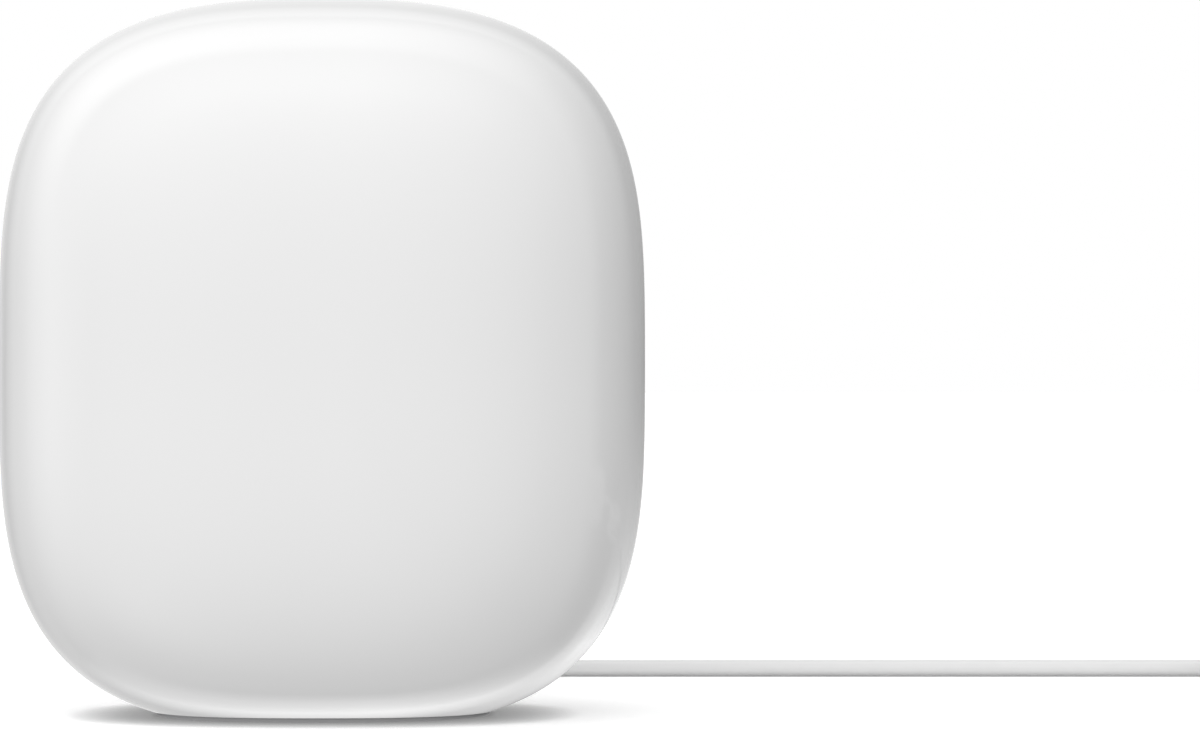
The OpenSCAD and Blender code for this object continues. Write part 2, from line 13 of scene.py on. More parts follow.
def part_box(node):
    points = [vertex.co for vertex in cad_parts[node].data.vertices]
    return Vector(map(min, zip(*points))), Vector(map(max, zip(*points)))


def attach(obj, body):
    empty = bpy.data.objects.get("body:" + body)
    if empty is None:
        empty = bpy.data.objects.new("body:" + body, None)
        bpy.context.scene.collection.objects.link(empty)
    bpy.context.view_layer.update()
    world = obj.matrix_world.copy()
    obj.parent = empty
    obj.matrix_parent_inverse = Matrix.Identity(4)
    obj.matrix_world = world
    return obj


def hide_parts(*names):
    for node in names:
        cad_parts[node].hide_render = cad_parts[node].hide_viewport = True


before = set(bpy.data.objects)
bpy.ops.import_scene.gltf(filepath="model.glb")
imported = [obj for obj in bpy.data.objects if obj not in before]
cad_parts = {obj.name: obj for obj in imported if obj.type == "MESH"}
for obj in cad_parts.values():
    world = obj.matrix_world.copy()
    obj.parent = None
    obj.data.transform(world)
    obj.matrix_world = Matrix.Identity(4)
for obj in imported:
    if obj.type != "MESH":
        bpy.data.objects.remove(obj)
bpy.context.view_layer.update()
random.seed(11)
MM = 0.001


def box_mm(node):
    """A node's lowest and highest corners, in millimetres."""
    low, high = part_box(node)
    return Vector(low) / MM, Vector(high) / MM


# ---- camera

camera_data = bpy.data.cameras.new("camera")
camera_data.lens = 131.7  # mm
camera_data.sensor_width = 36
camera = bpy.data.objects.new("camera", camera_data)
camera.location = (0.0503, -0.8, 0.0636)
camera.rotation_euler = (math.pi / 2, 0, 0)
bpy.context.scene.collection.objects.link(camera)
bpy.context.scene.camera = camera

# ---- mesh helpers


def link(obj, body, replaced=()):
    bpy.context.scene.collection.objects.link(obj)
    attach(obj, body)
    if replaced:
        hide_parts(*replaced)
    return obj


@contextlib.contextmanager
def edited(data):
    work = bmesh.new()
    work.from_mesh(data)
    yield work
    work.to_mesh(data)
    work.free()


def mesh_of(name, points, faces, sharp=35):
    """A mesh with smooth shading that breaks at edges sharper than the given angle."""
    data = bpy.data.meshes.new(name)
    data.from_pydata([Vector(p) * MM for p in points], [], faces)
    data.validate()
    with edited(data) as work:
        bmesh.ops.recalc_face_normals(work, faces=work.faces)
    smooth(data, sharp)
    return data


def smooth(data, sharp=35):
    data.polygons.foreach_set("use_smooth", [True] * len(data.polygons))
    data.set_sharp_from_angle(angle=math.radians(sharp))
    data.update()


def stack(rings, start=True, end=True):
    """Points and faces of a skin through rings of equal count, with flat caps at its ends."""
    count = len(rings[0])
    points = [p for ring in rings for p in ring]
    faces = []
    for r in range(len(rings) - 1):
        for i in range(count):
            j = (i + 1) % count
            faces.append((r * count + i, r * count + j, (r + 1) * count + j, (r + 1) * count + i))
    if start:
        faces.append(tuple(range(count - 1, -1, -1)))
    if end:
        last = (len(rings) - 1) * count
        faces.append(tuple(range(last, last + count)))
    return points, faces


def joined(*parts):
    """Several (points, faces) pairs as one."""
    points, faces = [], []
    for more_points, more_faces in parts:
        base = len(points)
        points += list(more_points)
        faces += [tuple(base + i for i in face) for face in more_faces]
    return points, faces


def lathe(profile, centre, axis="y", segments=48, radius=None):
    """A turned solid: profile is (radius, distance along the axis), both in mm."""
    rings = []
    for r, a in profile:
        ring = []
        for i in range(segments):
            angle = 2 * math.pi * i / segments
            k = radius(angle, r, a) if radius else r
            u, v = k * math.cos(angle), k * math.sin(angle)
            ring.append(Vector(centre) + Vector({"x": (a, u, v), "y": (u, a, v), "z": (u, v, a)}[axis]))
        rings.append(ring)
    return stack(rings)


def power_of(value, power):
    return math.copysign(abs(value) ** (2 / power), value)


def oval(rx, ry, power, count):
    turns = [2 * math.pi * i / count for i in range(count)]
    return [(rx * power_of(math.cos(t), power), ry * power_of(math.sin(t), power)) for t in turns]


def oval_stack(profile, rx, ry, power, centre, count=128):
    """A closed solid through level ovals: profile is (inset from the outline, height)."""
    rings = []
    for inset, z in profile:
        ring = oval(rx - inset, ry - inset, power, count)
        rings.append([Vector((centre[0] + x, centre[1] + y, z)) for x, y in ring])
    return stack(rings)


def arc(cx, cy, r, from_deg, to_deg, steps):
    """Points of an arc, as pairs."""
    out = []
    for i in range(steps + 1):
        a = math.radians(from_deg + (to_deg - from_deg) * i / steps)
        out.append((cx + r * math.cos(a), cy + r * math.sin(a)))
    return out


def rounded(w, h, r, centre=(0, 0), corner_steps=8):
    """A rounded rectangle, anticlockwise."""
    out = []
    for sx, sy, start in ((1, 1, 0), (-1, 1, 90), (-1, -1, 180), (1, -1, 270)):
        out += arc(centre[0] + sx * (w / 2 - r), centre[1] + sy * (h / 2 - r), r, start, start + 90,
                   corner_steps)
    return out


def circle(r, centre=(0, 0), count=48):
    return [(centre[0] + r * math.cos(2 * math.pi * i / count),
             centre[1] + r * math.sin(2 * math.pi * i / count)) for i in range(count)]


def plate(outlines, low, high, bevel=0.15, plane="xz"):
    """A flat piece with holes and rounded edges, between two depths along its third axis."""
    curve = bpy.data.curves.new("plate", "CURVE")
    curve.dimensions = "2D"
    curve.fill_mode = "BOTH"
    curve.bevel_resolution = 2
    curve.bevel_depth = bevel
    curve.offset = -bevel
    curve.extrude = (high - low) / 2 - bevel
    for outline in outlines:
        spline = curve.splines.new("POLY")
        spline.points.add(len(outline) - 1)
        for point, (x, y) in zip(spline.points, outline):
            point.co = (x, y, 0, 1)
        spline.use_cyclic_u = True
    obj = bpy.data.objects.new("plate", curve)
    bpy.context.scene.collection.objects.link(obj)
    graph = bpy.context.evaluated_depsgraph_get()
    data = bpy.data.meshes.new_from_object(obj.evaluated_get(graph))
    with edited(data) as work:
        bmesh.ops.remove_doubles(work, verts=work.verts, dist=1e-4)
    middle = (low + high) / 2
    place = {
        "xz": lambda v: Vector((v.x, middle - v.z, v.y)),
        "xy": lambda v: Vector((v.x, v.y, middle + v.z)),
        "yz": lambda v: Vector((middle + v.z, v.x, v.y)),
    }[plane]
    points = [place(v.co) for v in data.vertices]
    faces = [tuple(p.vertices) for p in data.polygons]
    bpy.data.objects.remove(obj)
    bpy.data.curves.remove(curve)
    bpy.data.meshes.remove(data)
    return points, faces


def block(low, high, bevel=0.2, corner=0.3, plane="xz"):
    """A box with rounded edges, from its two corners."""
    axes = {"xz": (0, 2, 1), "xy": (0, 1, 2), "yz": (1, 2, 0)}[plane]
    size = [high[i] - low[i] for i in range(3)]
    centre = [(high[i] + low[i]) / 2 for i in range(3)]
    a, b, c = axes
    outline = rounded(size[a], size[b], max(corner, bevel), (centre[a], centre[b]), 4)
    return plate([outline], low[c], high[c], bevel, plane)


def piece(name, made, slot, *replaced, body="router", sharp=35, look=None):
    """A piece from its (points, faces), in the finish of its slot unless a look is given."""
    obj = bpy.data.objects.new(name, mesh_of(name, *made, sharp))
    obj.data.materials.append(M[look or slot])
    return link(obj, body, replaced)


# ---- materials


def add_node(tree, kind, inputs=(), **settings):
    """A shader node with its settings, its inputs given as values or as the sockets that feed them."""
    node = tree.nodes.new("ShaderNode" + kind)
    for name, value in settings.items():
        setattr(node, name, value)
    set_inputs(tree, node, dict(inputs))
    return node


def set_inputs(tree, node, inputs):
    for name, value in inputs.items():
        if isinstance(value, bpy.types.NodeSocket):
            tree.links.new(value, node.inputs[name])
        else:
            node.inputs[name].default_value = value


def material(name, colour, rough, metallic=0.0, spec=0.5, transmission=0.0, sheen=0.0, tint=None,
             tint_scale=300, rough_swing=0.04, rough_scale=400, grain=0.004, grain_scale=4000, wave=0.0,
             wave_scale=30, stretch=(1, 1, 1), pattern=None):
    """A procedural finish with drifting colour and roughness, grain and a slow wave. A grey is one number."""
    colour, other = [(c,) * 3 if isinstance(c, float) else c for c in (colour, tint or colour)]
    if not tint:
        other = tuple(c * 0.97 for c in colour)
    made = bpy.data.materials.new(name)
    made.use_nodes = True
    tree = made.node_tree
    place = add_node(tree, "TexCoord").outputs["Object"]
    vector = add_node(tree, "Mapping", {"Vector": place, "Scale": stretch}).outputs["Vector"]

    def noise(scale, detail=2.0):
        return add_node(tree, "TexNoise", {"Vector": vector, "Scale": scale, "Detail": detail}).outputs["Fac"]

    low, high = max(0.0, rough - rough_swing), min(1.0, rough + rough_swing)
    drift = add_node(tree, "MapRange", {"Value": noise(rough_scale, 4.0), "To Min": low, "To Max": high})
    share = pattern(tree, vector) if pattern else noise(tint_scale)
    mix = add_node(tree, "Mix", data_type="RGBA")
    set_inputs(tree, mix, {"A": (*colour, 1), "B": (*other, 1), "Factor": share})
    fine = add_node(tree, "Bump", {"Distance": grain * MM, "Height": noise(grain_scale, 1.0)})
    if wave:
        slow = add_node(tree, "Bump", {"Distance": wave * MM, "Height": noise(wave_scale, 1.0)})
        tree.links.new(slow.outputs["Normal"], fine.inputs["Normal"])
    set_inputs(tree, tree.nodes["Principled BSDF"], {
        "Base Color": mix.outputs["Result"], "Roughness": drift.outputs["Result"],
        "Normal": fine.outputs["Normal"],
        "Metallic": metallic, "Specular IOR Level": spec,
        "Transmission Weight": transmission, "Sheen Weight": sheen,
    })
    return made


def ramp_of(tree, source, low, high):
    return add_node(tree, "MapRange", {"Value": source, "From Min": low, "From Max": high}).outputs["Result"]


def traces(tree, vector):
    """Square-cornered tracks of a printed board."""
    cells = add_node(tree, "TexVoronoi", {"Vector": vector, "Scale": 260}, distance="CHEBYCHEV", feature="F2")
    return ramp_of(tree, cells.outputs["Distance"], 0.55, 0.62)


def meander(tree, vector):
    """Copper bands printed on a film."""
    bands = add_node(tree, "TexWave", {"Vector": vector, "Scale": 90}, bands_direction="DIAGONAL")
    return ramp_of(tree, bands.outputs["Fac"], 0.45, 0.55)


LOOKS = {
    "gloss_shell": dict(colour=0.80, rough=0.07, tint=0.795, tint_scale=40, rough_swing=0.012,
                        rough_scale=120, grain=0.0006, grain_scale=2500, wave=0.006, wave_scale=35),
    "matte_white": dict(colour=0.70, rough=0.5, grain=0.02, grain_scale=3500, rough_swing=0.06),
    "base_grey": dict(colour=(0.55, 0.55, 0.56), rough=0.55, grain=0.02, grain_scale=3000, rough_swing=0.06),
    "grey_rubber": dict(colour=(0.30, 0.30, 0.305), rough=0.7, spec=0.35, tint=(0.33, 0.33, 0.335),
                        grain=0.03, grain_scale=2200, rough_swing=0.08),
    "screw_steel": dict(colour=(0.55, 0.55, 0.57), rough=0.3, metallic=1.0, tint=(0.46, 0.46, 0.48),
                        rough_swing=0.1, grain=0.004),
    "frame_plastic": dict(colour=(0.045, 0.045, 0.048), rough=0.5, grain=0.03, grain_scale=2500,
                          rough_swing=0.07),
    "board_green": dict(colour=(0.012, 0.085, 0.035), rough=0.32, tint=(0.03, 0.16, 0.07), pattern=traces,
                        grain=0.006, grain_scale=2500),
    "sink_aluminium": dict(colour=(0.62, 0.62, 0.64), rough=0.42, metallic=1.0, tint=(0.55, 0.55, 0.57),
                           grain=0.012, grain_scale=5000, rough_swing=0.08),
    "thermal_pad": dict(colour=(0.22, 0.38, 0.5), rough=0.8, spec=0.3, tint=(0.26, 0.42, 0.54), grain=0.04,
                        grain_scale=1500),
    "tin_plate": dict(colour=(0.6, 0.6, 0.61), rough=0.26, metallic=1.0, tint=(0.53, 0.53, 0.55),
                      tint_scale=150, rough_swing=0.08, stretch=(1, 1, 8)),
    "chip_black": dict(colour=(0.012, 0.012, 0.013), rough=0.45, tint=(0.02, 0.02, 0.022), grain=0.012,
                       grain_scale=6000),
    "gold_plate": dict(colour=(0.83, 0.6, 0.24), rough=0.22, metallic=1.0, tint=(0.75, 0.53, 0.2),
                       rough_swing=0.07),
    "antenna_film": dict(colour=(0.35, 0.13, 0.03), rough=0.35, tint=(0.6, 0.27, 0.12), pattern=meander,
                         grain=0.004),
    "coax_grey": dict(colour=(0.1, 0.1, 0.105), rough=0.45, grain=0.008),
    "led_clear": dict(colour=(0.85, 0.85, 0.75), rough=0.2, transmission=0.4, grain=0.002),
    "pipe_clear": dict(colour=(0.8, 0.86, 0.88), rough=0.12, transmission=0.75, grain=0.001),
    "ferrite": dict(colour=(0.05, 0.05, 0.055), rough=0.6, grain=0.03, grain_scale=1800),
    "can_aluminium": dict(colour=(0.5, 0.52, 0.55), rough=0.28, metallic=1.0, rough_swing=0.09,
                          stretch=(1, 6, 1)),
    "jack_black": dict(colour=0.012, rough=0.5, grain=0.015, grain_scale=3500),
    "stem_ivory": dict(colour=(0.7, 0.66, 0.55), rough=0.45, grain=0.008),
    "cord_white": dict(colour=0.72, rough=0.38, tint=0.69, grain=0.004, grain_scale=1800, rough_swing=0.05,
                       wave=0.02, wave_scale=90),
    "plug_white": dict(colour=0.72, rough=0.42, grain=0.01, grain_scale=3000, rough_swing=0.05),
    "strap_white": dict(colour=0.66, rough=0.85, spec=0.2, sheen=0.3, tint=0.56, tint_scale=1500, grain=0.12,
                        grain_scale=1400),
    "adapter_white": dict(colour=0.74, rough=0.2, grain=0.002, grain_scale=2500, rough_swing=0.03, wave=0.01,
                          wave_scale=60),
    "nickel": dict(colour=(0.66, 0.64, 0.6), rough=0.18, metallic=1.0, tint=(0.58, 0.56, 0.52),
                   rough_swing=0.06),
    "winding": dict(colour=(0.55, 0.4, 0.05), rough=0.5, tint=(0.5, 0.34, 0.04), grain=0.02,
                    grain_scale=2500),
}
M = {name: material(name, **look) for name, look in LOOKS.items()}

# ---- the cord

LEAD = [
    (21, 50.5, 20.4), (21, 52, 20.4), (21, 57, 20.2), (21, 62, 19.1), (21, 67, 16.9), (21, 71, 14.5),
    (21, 75, 11.7),
    (21.7, 80.4, 8.1), (23.8, 85.5, 5.3), (27.2, 89.8, 3.3), (31.5, 93.2, 2.2), (36.6, 95.3, 1.75),
    (42, 96, 1.65),
    (50, 96, 1.65), (66, 96, 1.65), (90, 96, 1.65), (114, 96, 1.65), (138, 96, 1.65), (162, 96, 1.65),
    (182, 96, 1.65),
]
TAIL = [(223.1, 64, 11.6), (223.1, 58, 11.8), (223.1, 52, 12.3), (223.1, 46, 13.2), (223, 40, 14.3),
        (223, 36, 14.8), (223, 32.5, 15), (223, 26, 15), (223, 20, 15), (223, 14, 15)]
CORD_D = 3.3
CORD_R = CORD_D / 2
COIL_CENTRE = (200, 69.6)
COIL_IN = 16.5
TIE_ANGLE = 40
# The turns, as (column, layer), in the order they are wound, and where on its turn each one moves to the next
CELLS = [(3, 0), (2, 0), (1, 0), (0, 0), (0, 1), (1, 1), (2, 1), (2, 2), (1, 2), (0, 2), (0, 3), (1, 3),
         (2, 3)]
SHIFTS = [336, 336, 336, 300, 264, 264, 228, 192, 192, 156, 120, 120]
SHIFT_SPAN = 36
TURNS = len(SHIFTS)
TIE_LIFT = 0.45


def catmull(route, step):
    """Points about a step apart on a smooth line through the route."""
    points = [Vector(p) for p in route]
    points = [points[0] * 2 - points[1]] + points + [points[-1] * 2 - points[-2]]
    out = []
    for i in range(1, len(points) - 2):
        a, b, c, d = points[i - 1 : i + 3]
        ta = (b - a).length ** 0.5
        tb = ta + (c - b).length ** 0.5
        tc = tb + (d - c).length ** 0.5
        count = max(2, round((c - b).length / step))
        for k in range(count):
            t = ta + (tb - ta) * k / count
            ab = a * ((ta - t) / ta) + b * (t / ta)
            bc = b * ((tb - t) / (tb - ta)) + c * ((t - ta) / (tb - ta))
            cd = c * ((tc - t) / (tc - tb)) + d * ((t - tb) / (tc - tb))
            abc = ab * ((tb - t) / tb) + bc * (t / tb)
            bcd = bc * ((tc - t) / (tc - ta)) + cd * ((t - ta) / (tc - ta))
            out.append(abc * ((tb - t) / (tb - ta)) + bcd * ((t - ta) / (tb - ta)))
    return out + [points[-2]]


def ease(t):
    t = min(1.0, max(0.0, t))
    return t * t * (3 - 2 * t)


def coil_points(per_turn=40):
    """The wound turns, clockwise from the lead's end to the tail's start."""
    out = []
    total = TURNS * per_turn + per_turn // 4
    for i in range(total + 1):
        turn, place = divmod(i, per_turn)
        degrees = 360 * place / per_turn
        here = CELLS[min(turn, TURNS)]
        there = CELLS[min(turn + 1, TURNS)]
        share = ease((degrees - SHIFTS[turn] + SHIFT_SPAN / 2) / SHIFT_SPAN) if turn < TURNS else 0
        column = here[0] + (there[0] - here[0]) * share
        layer = here[1] + (there[1] - here[1]) * share
        off_tie = ((90 - degrees - TIE_ANGLE + 180) % 360) - 180
        lift = TIE_LIFT * math.exp(-((off_tie / 16) ** 2))
        r = COIL_IN + CORD_D * column
        angle = math.radians(90 - degrees)
        z = CORD_R + CORD_D * layer + lift
        out.append(Vector((COIL_CENTRE[0] + r * math.cos(angle), COIL_CENTRE[1] + r * math.sin(angle), z)))
    return out


route = catmull(LEAD, 2.5)
coil = coil_points()
tail = catmull(TAIL, 2.5)
route += coil + tail[1:]
cord_curve = bpy.data.curves.new("power_cord", "CURVE")
cord_curve.dimensions = "3D"
cord_curve.bevel_depth = CORD_R * MM
cord_curve.bevel_resolution = 4
cord_curve.use_fill_caps = True
cord_line = cord_curve.splines.new("POLY")
cord_line.points.add(len(route) - 1)
for point, at in zip(cord_line.points, route):
    point.co = (*(at * MM), 1)
cord_line.use_smooth = True
cord = bpy.data.objects.new("power_cord", cord_curve)
cord_curve.materials.append(M["cord_white"])
link(cord, "power_lead", ["cord_lead", "cord_coil", "cord_tail"])

# ---- the pebble

shell_low, shell_high = box_mm("front_shell")
HALF_W, HALF_D, TOP, RIM = shell_high.x, -shell_low.y, shell_high.z, shell_low.z
WAIST, TUCK = 62.0, 64.4
CROWN = TOP - WAIST
SECTION = 2.5
WIDE = {"crown": (2.7, 3.7), "tuck": (2.9, 3.4), "size": HALF_W}
DEEP = {"crown": (2.5, 3.1), "tuck": (2.8, 3.0), "size": HALF_D}
SEAM = 6.0
WALL = 2.2
EDGE_ROUND, EDGE_DROP = 0.32, 0.22
RIB_X, RIB_HEIGHTS = 48.5, (46, 64, 82)
AROUND = 192


def half_of(shape, z, inset=0.0):
    """Half width or depth at a height, and its slope."""
    up = z >= WAIST
    power, m = shape["crown" if up else "tuck"]
    height = (CROWN if up else TUCK) - inset
    t = min(1 - 1e-9, abs(z - WAIST) / height)
    left = 1 - t**m
    size = shape["size"] - inset
    slope = size / power * left ** (1 / power - 1) * m * t ** (m - 1) / height
    return size * left ** (1 / power), (-slope if up else slope)


def pebble_normal(p):
    if p.z > TOP - 0.002:
        return Vector((0, 0, 1))
    w, dw = half_of(WIDE, p.z)
    d, dd = half_of(DEEP, p.z)
    a, b = abs(p.x) / w, abs(p.y) / d
    return Vector((
        math.copysign(a ** (SECTION - 1) / w, p.x),
        math.copysign(b ** (SECTION - 1) / d, p.y),
        -(a**SECTION * dw / w + b**SECTION * dd / d),
    )).normalized()


def depth_inside(p):
    """How far inside the outer surface a point is, about, in mm; it is negative outside."""
    w, _ = half_of(WIDE, p.z)
    d, _ = half_of(DEEP, p.z)
    value = ((abs(p.x) / w) ** SECTION + (abs(p.y) / d) ** SECTION) ** (1 / SECTION)
    return (1 - value) * min(w, d)


def off_pebble(p):
    """How far a point is from the outer surface, about, in mm."""
    return abs(p.z - TOP) if p.z > TOP - 0.002 else abs(depth_inside(p))


def rear_y(x, z):
    w, _ = half_of(WIDE, z)
    d, _ = half_of(DEEP, z)
    return d * max(0.0, 1 - (abs(x) / w) ** SECTION) ** (1 / SECTION)


def heights():
    """Heights of the rings: close where the outline turns fast, never over 2 mm apart."""
    end = math.asin(((WAIST - RIM) / TUCK) ** (WIDE["tuck"][1] / 2))
    low = [WAIST - TUCK * math.sin(end * i / 44) ** (2 / WIDE["tuck"][1]) for i in range(44, 0, -1)]
    high = [WAIST + CROWN * math.sin(math.pi / 2 * i / 56) ** (2 / WIDE["crown"][1]) for i in range(56)]
    rows = []
    for z in low + high:
        while rows and z - rows[-1] > 2.0:
            rows.append(rows[-1] + min(2.0, (z - rows[-1]) / 2 + 0.01))
        rows.append(z)
    return rows


def pebble_skin():
    """The whole outer surface, open at the rim under it."""
    rows = heights()
    points = []
    for z in rows:
        w, _ = half_of(WIDE, z)
        d, _ = half_of(DEEP, z)
        points += [Vector((x, y, z)) for x, y in oval(w, d, SECTION, AROUND)]
    faces = stack([points[i * AROUND : (i + 1) * AROUND] for i in range(len(rows))], False, False)[1]
    points.append(Vector((0, 0, TOP)))
    last = (len(rows) - 1) * AROUND
    faces += [(last + i, last + (i + 1) % AROUND, len(points) - 1) for i in range(AROUND)]
    return points, faces


# The port recess: a rounded opening in the rear, with a rolled lip and walls down to the port panel
panel_low, panel_high = box_mm("port_panel")
RECESS = {"w": 62.0, "h": 24.0, "r": 8.0, "x": 0.0, "z": (panel_low.z + panel_high.z) / 2}
LIP = 0.9
STITCH = 2.6
THINNEST = 0.35


def recess_distance(x, z):
    """How far outside the recess's outline a point is, in mm."""
    qx = abs(x - RECESS["x"]) - RECESS["w"] / 2 + RECESS["r"]
    qz = abs(z - RECESS["z"]) - RECESS["h"] / 2 + RECESS["r"]
    return math.hypot(max(qx, 0), max(qz, 0)) + min(max(qx, qz), 0) - RECESS["r"]


def recess_ring(grow):
    """Points of the recess's outline, grown, with its straight sides divided too."""
    w, h, r = RECESS["w"] + 2 * grow, RECESS["h"] + 2 * grow, RECESS["r"] + grow
    corners = rounded(w, h, r, (RECESS["x"], RECESS["z"]), 14)
    out = []
    for i, here in enumerate(corners):
        there = corners[(i + 1) % len(corners)]
        length = math.dist(here, there)
        count = 28 if length > 30 else (6 if length > 4 else 1)
        out += [(here[0] + (there[0] - here[0]) * k / count, here[1] + (there[1] - here[1]) * k / count)
                for k in range(count)]
    return out


def cut_recess(work):
    """Opens the rear skin and stitches in the lip and the walls."""
    gone = [f for f in work.faces if all(v.co.y > 0 for v in f.verts)
            and any(recess_distance(v.co.x, v.co.z) < STITCH for v in f.verts)]
    bmesh.ops.delete(work, geom=gone, context="FACES")
    bmesh.ops.delete(work, geom=[v for v in work.verts if not v.link_faces], context="VERTS")
    near = [e for e in work.edges if e.is_boundary and all(v.co.y > SEAM + 3 and v.co.z > RIM + 0.05
                                                           for v in e.verts)]
    step = {}
    for e in near:
        for v in e.verts:
            step.setdefault(v, []).append(e.other_vert(v))
    start = next(iter(step))
    loop, before = [start], None
    while True:
        ahead = [v for v in step[loop[-1]] if v is not before][0]
        if ahead is start:
            break
        before = loop[-1]
        loop.append(ahead)
    drops = [(LIP * (1 - math.cos(math.radians(a))), LIP * (1 - math.sin(math.radians(a))))
             for a in range(90, -1, -15)]
    rings = []
    for grow, drop in drops:
        rings.append([work.verts.new((x, rear_y(x, z) - drop, z)) for x, z in recess_ring(grow)])
    for share in (0.25, 0.5, 0.75, 1.0):
        ring = []
        for (x, z), top in zip(recess_ring(0), rings[len(drops) - 1]):
            ring.append(work.verts.new((x, top.co.y + (panel_high.y - top.co.y) * share, z)))
        rings.append(ring)
    for outer, inner in zip(rings, rings[1:]):
        for i in range(len(outer)):
            j = (i + 1) % len(outer)
            work.faces.new((outer[i], outer[j], inner[j], inner[i]))
    seam_ring = rings[0]
    flat = [Vector((v.co.x, v.co.z)) for v in loop] + [Vector((v.co.x, v.co.z)) for v in seam_ring]
    edges = [(i, (i + 1) % len(loop)) for i in range(len(loop))]
    base = len(loop)
    edges += [(base + i, base + (i + 1) % len(seam_ring)) for i in range(len(seam_ring))]
    out = delaunay_2d_cdt(flat, edges, [], 0, 1e-7)
    owner = [group[0] for group in out[3]]
    made = loop + seam_ring
    outline = [(v.co.x, v.co.z) for v in loop]
    for face in out[2]:
        ids = [owner[i] for i in face]
        cx = sum(flat[i].x for i in ids) / 3
        cz = sum(flat[i].y for i in ids) / 3
        if recess_distance(cx, cz) > LIP - 0.02 and inside(cx, cz, outline):
            work.faces.new([made[i] for i in ids])


def inside(x, y, outline):
    found = False
    for (ax, ay), (bx, by) in zip(outline, outline[1:] + outline[:1]):
        if (ay > y) != (by > y) and x < (bx - ax) * (y - ay) / (by - ay) + ax:
            found = not found
    return found


def keep_wall_inside(skin, solid):
    """Thins the wall behind the recess's edge, where its full thickness would come out through the tuck."""
    for outer, inner in zip(skin.vertices, solid.vertices[len(skin.vertices) :]):
        if outer.co.y < SEAM or recess_distance(outer.co.x, outer.co.z) > LIP + 0.01:
            continue
        step, share = inner.co - outer.co, 1.0
        while share > 0.1 and depth_inside(outer.co + step * share) < THINNEST:
            share -= 0.05
        inner.co = outer.co + step * share


def half_shell(name, sign, at, replaced):
    """The skin on one side of the seam, with a rounded edge there, then thickened."""
    points, faces = pebble_skin()
    data = bpy.data.meshes.new(name)
    data.from_pydata(points, [], faces)
    work = bmesh.new()
    work.from_mesh(data)
    for offset in (0.0, 0.12, EDGE_ROUND):
        every = work.verts[:] + work.edges[:] + work.faces[:]
        cut = at + sign * offset
        bmesh.ops.bisect_plane(work, geom=every, dist=1e-6, plane_co=(0, cut, 0), plane_no=(0, -sign, 0),
                               clear_outer=offset == 0.0)
    if sign > 0:
        cut_recess(work)
    for v in work.verts:
        past = (v.co.y - at) * sign
        if past < 0.3:
            v.co -= pebble_normal(v.co) * (EDGE_DROP * (1 - past / EDGE_ROUND) ** 2)
    bmesh.ops.recalc_face_normals(work, faces=work.faces)
    middle = max(work.faces, key=lambda f: f.calc_center_median().y * sign)
    if middle.normal.y * sign < 0:
        bmesh.ops.reverse_faces(work, faces=work.faces)
    work.to_mesh(data)
    work.free()
    obj = bpy.data.objects.new(name, data)
    bpy.context.scene.collection.objects.link(obj)
    thick = obj.modifiers.new("wall", "SOLIDIFY")
    thick.thickness = WALL
    thick.offset = -1
    graph = bpy.context.evaluated_depsgraph_get()
    solid = bpy.data.meshes.new_from_object(obj.evaluated_get(graph))
    bpy.data.objects.remove(obj)
    solid.name = name
    if sign > 0:
        keep_wall_inside(data, solid)
    add_ribs(solid, sign)
    smooth(solid, 40)
    normals = []
    corners = [c.vector.copy() for c in solid.corner_normals]
    for face in solid.polygons:
        for loop_index in face.loop_indices:
            p = solid.vertices[solid.loops[loop_index].vertex_index].co
            exact = pebble_normal(p) if off_pebble(p) < 0.01 else None
            good = exact is not None and face.normal.dot(exact) > 0.9
            normals.append(exact if good else corners[loop_index])
    solid.normals_split_custom_set(normals)
    solid.transform(Matrix.Scale(MM, 4))
    shell = bpy.data.objects.new(name, solid)
    solid.materials.append(M["gloss_shell"])
    return link(shell, "router", replaced)


def add_ribs(data, sign):
    """Ribs from the wall to the chassis frame, added to the shell's mesh."""
    parts = []
    face_y = -7.0 if sign < 0 else 5.0
    for side in (-1, 1):
        for z in RIB_HEIGHTS:
            far = 0
            while far < 40 and off_inside(side * 52.5, face_y + sign * far, z):
                far += 1
            low, high = sorted((face_y, face_y + sign * (far + 1)))
            parts.append(block((side * RIB_X - 4, low, z), (side * RIB_X + 4, high, z + 1.5), 0.2))
    with edited(data) as work:
        for points, faces in parts:
            made = [work.verts.new(p) for p in points]
            for face in faces:
                work.faces.new([made[i] for i in face])


def off_inside(x, y, z):
    """True where a point is inside the shell's inner surface."""
    w, _ = half_of(WIDE, z)
    d, _ = half_of(DEEP, z)
    return (abs(x) / (w - WALL)) ** SECTION + (abs(y) / (d - WALL)) ** SECTION < 1


half_shell("shell_front", -1, SEAM, ["front_shell"])
half_shell("shell_rear", 1, SEAM + 0.15, ["rear_shell"])

# ---- foot and base

pad_high = box_mm("foot_pad")[1]
pad_profile = [(12, 0.35), (5.2, 0.35), (4.9, 0.3), (4.7, 0.12), (4.5, 0.0)]
pad_profile += [(0.35 - 0.35 * math.sin(math.radians(a)), 0.35 - 0.35 * math.cos(math.radians(a)))
                for a in range(0, 91, 15)]
pad_profile += [(0.0, RIM - 0.12), (0.05, RIM - 0.03), (0.15, RIM), (6, RIM)]
piece("foot_pad_moulded", oval_stack(pad_profile, pad_high.x, pad_high.y, SECTION, (0, 0)), "grey_rubber",
      "foot_pad")

# ---- ports

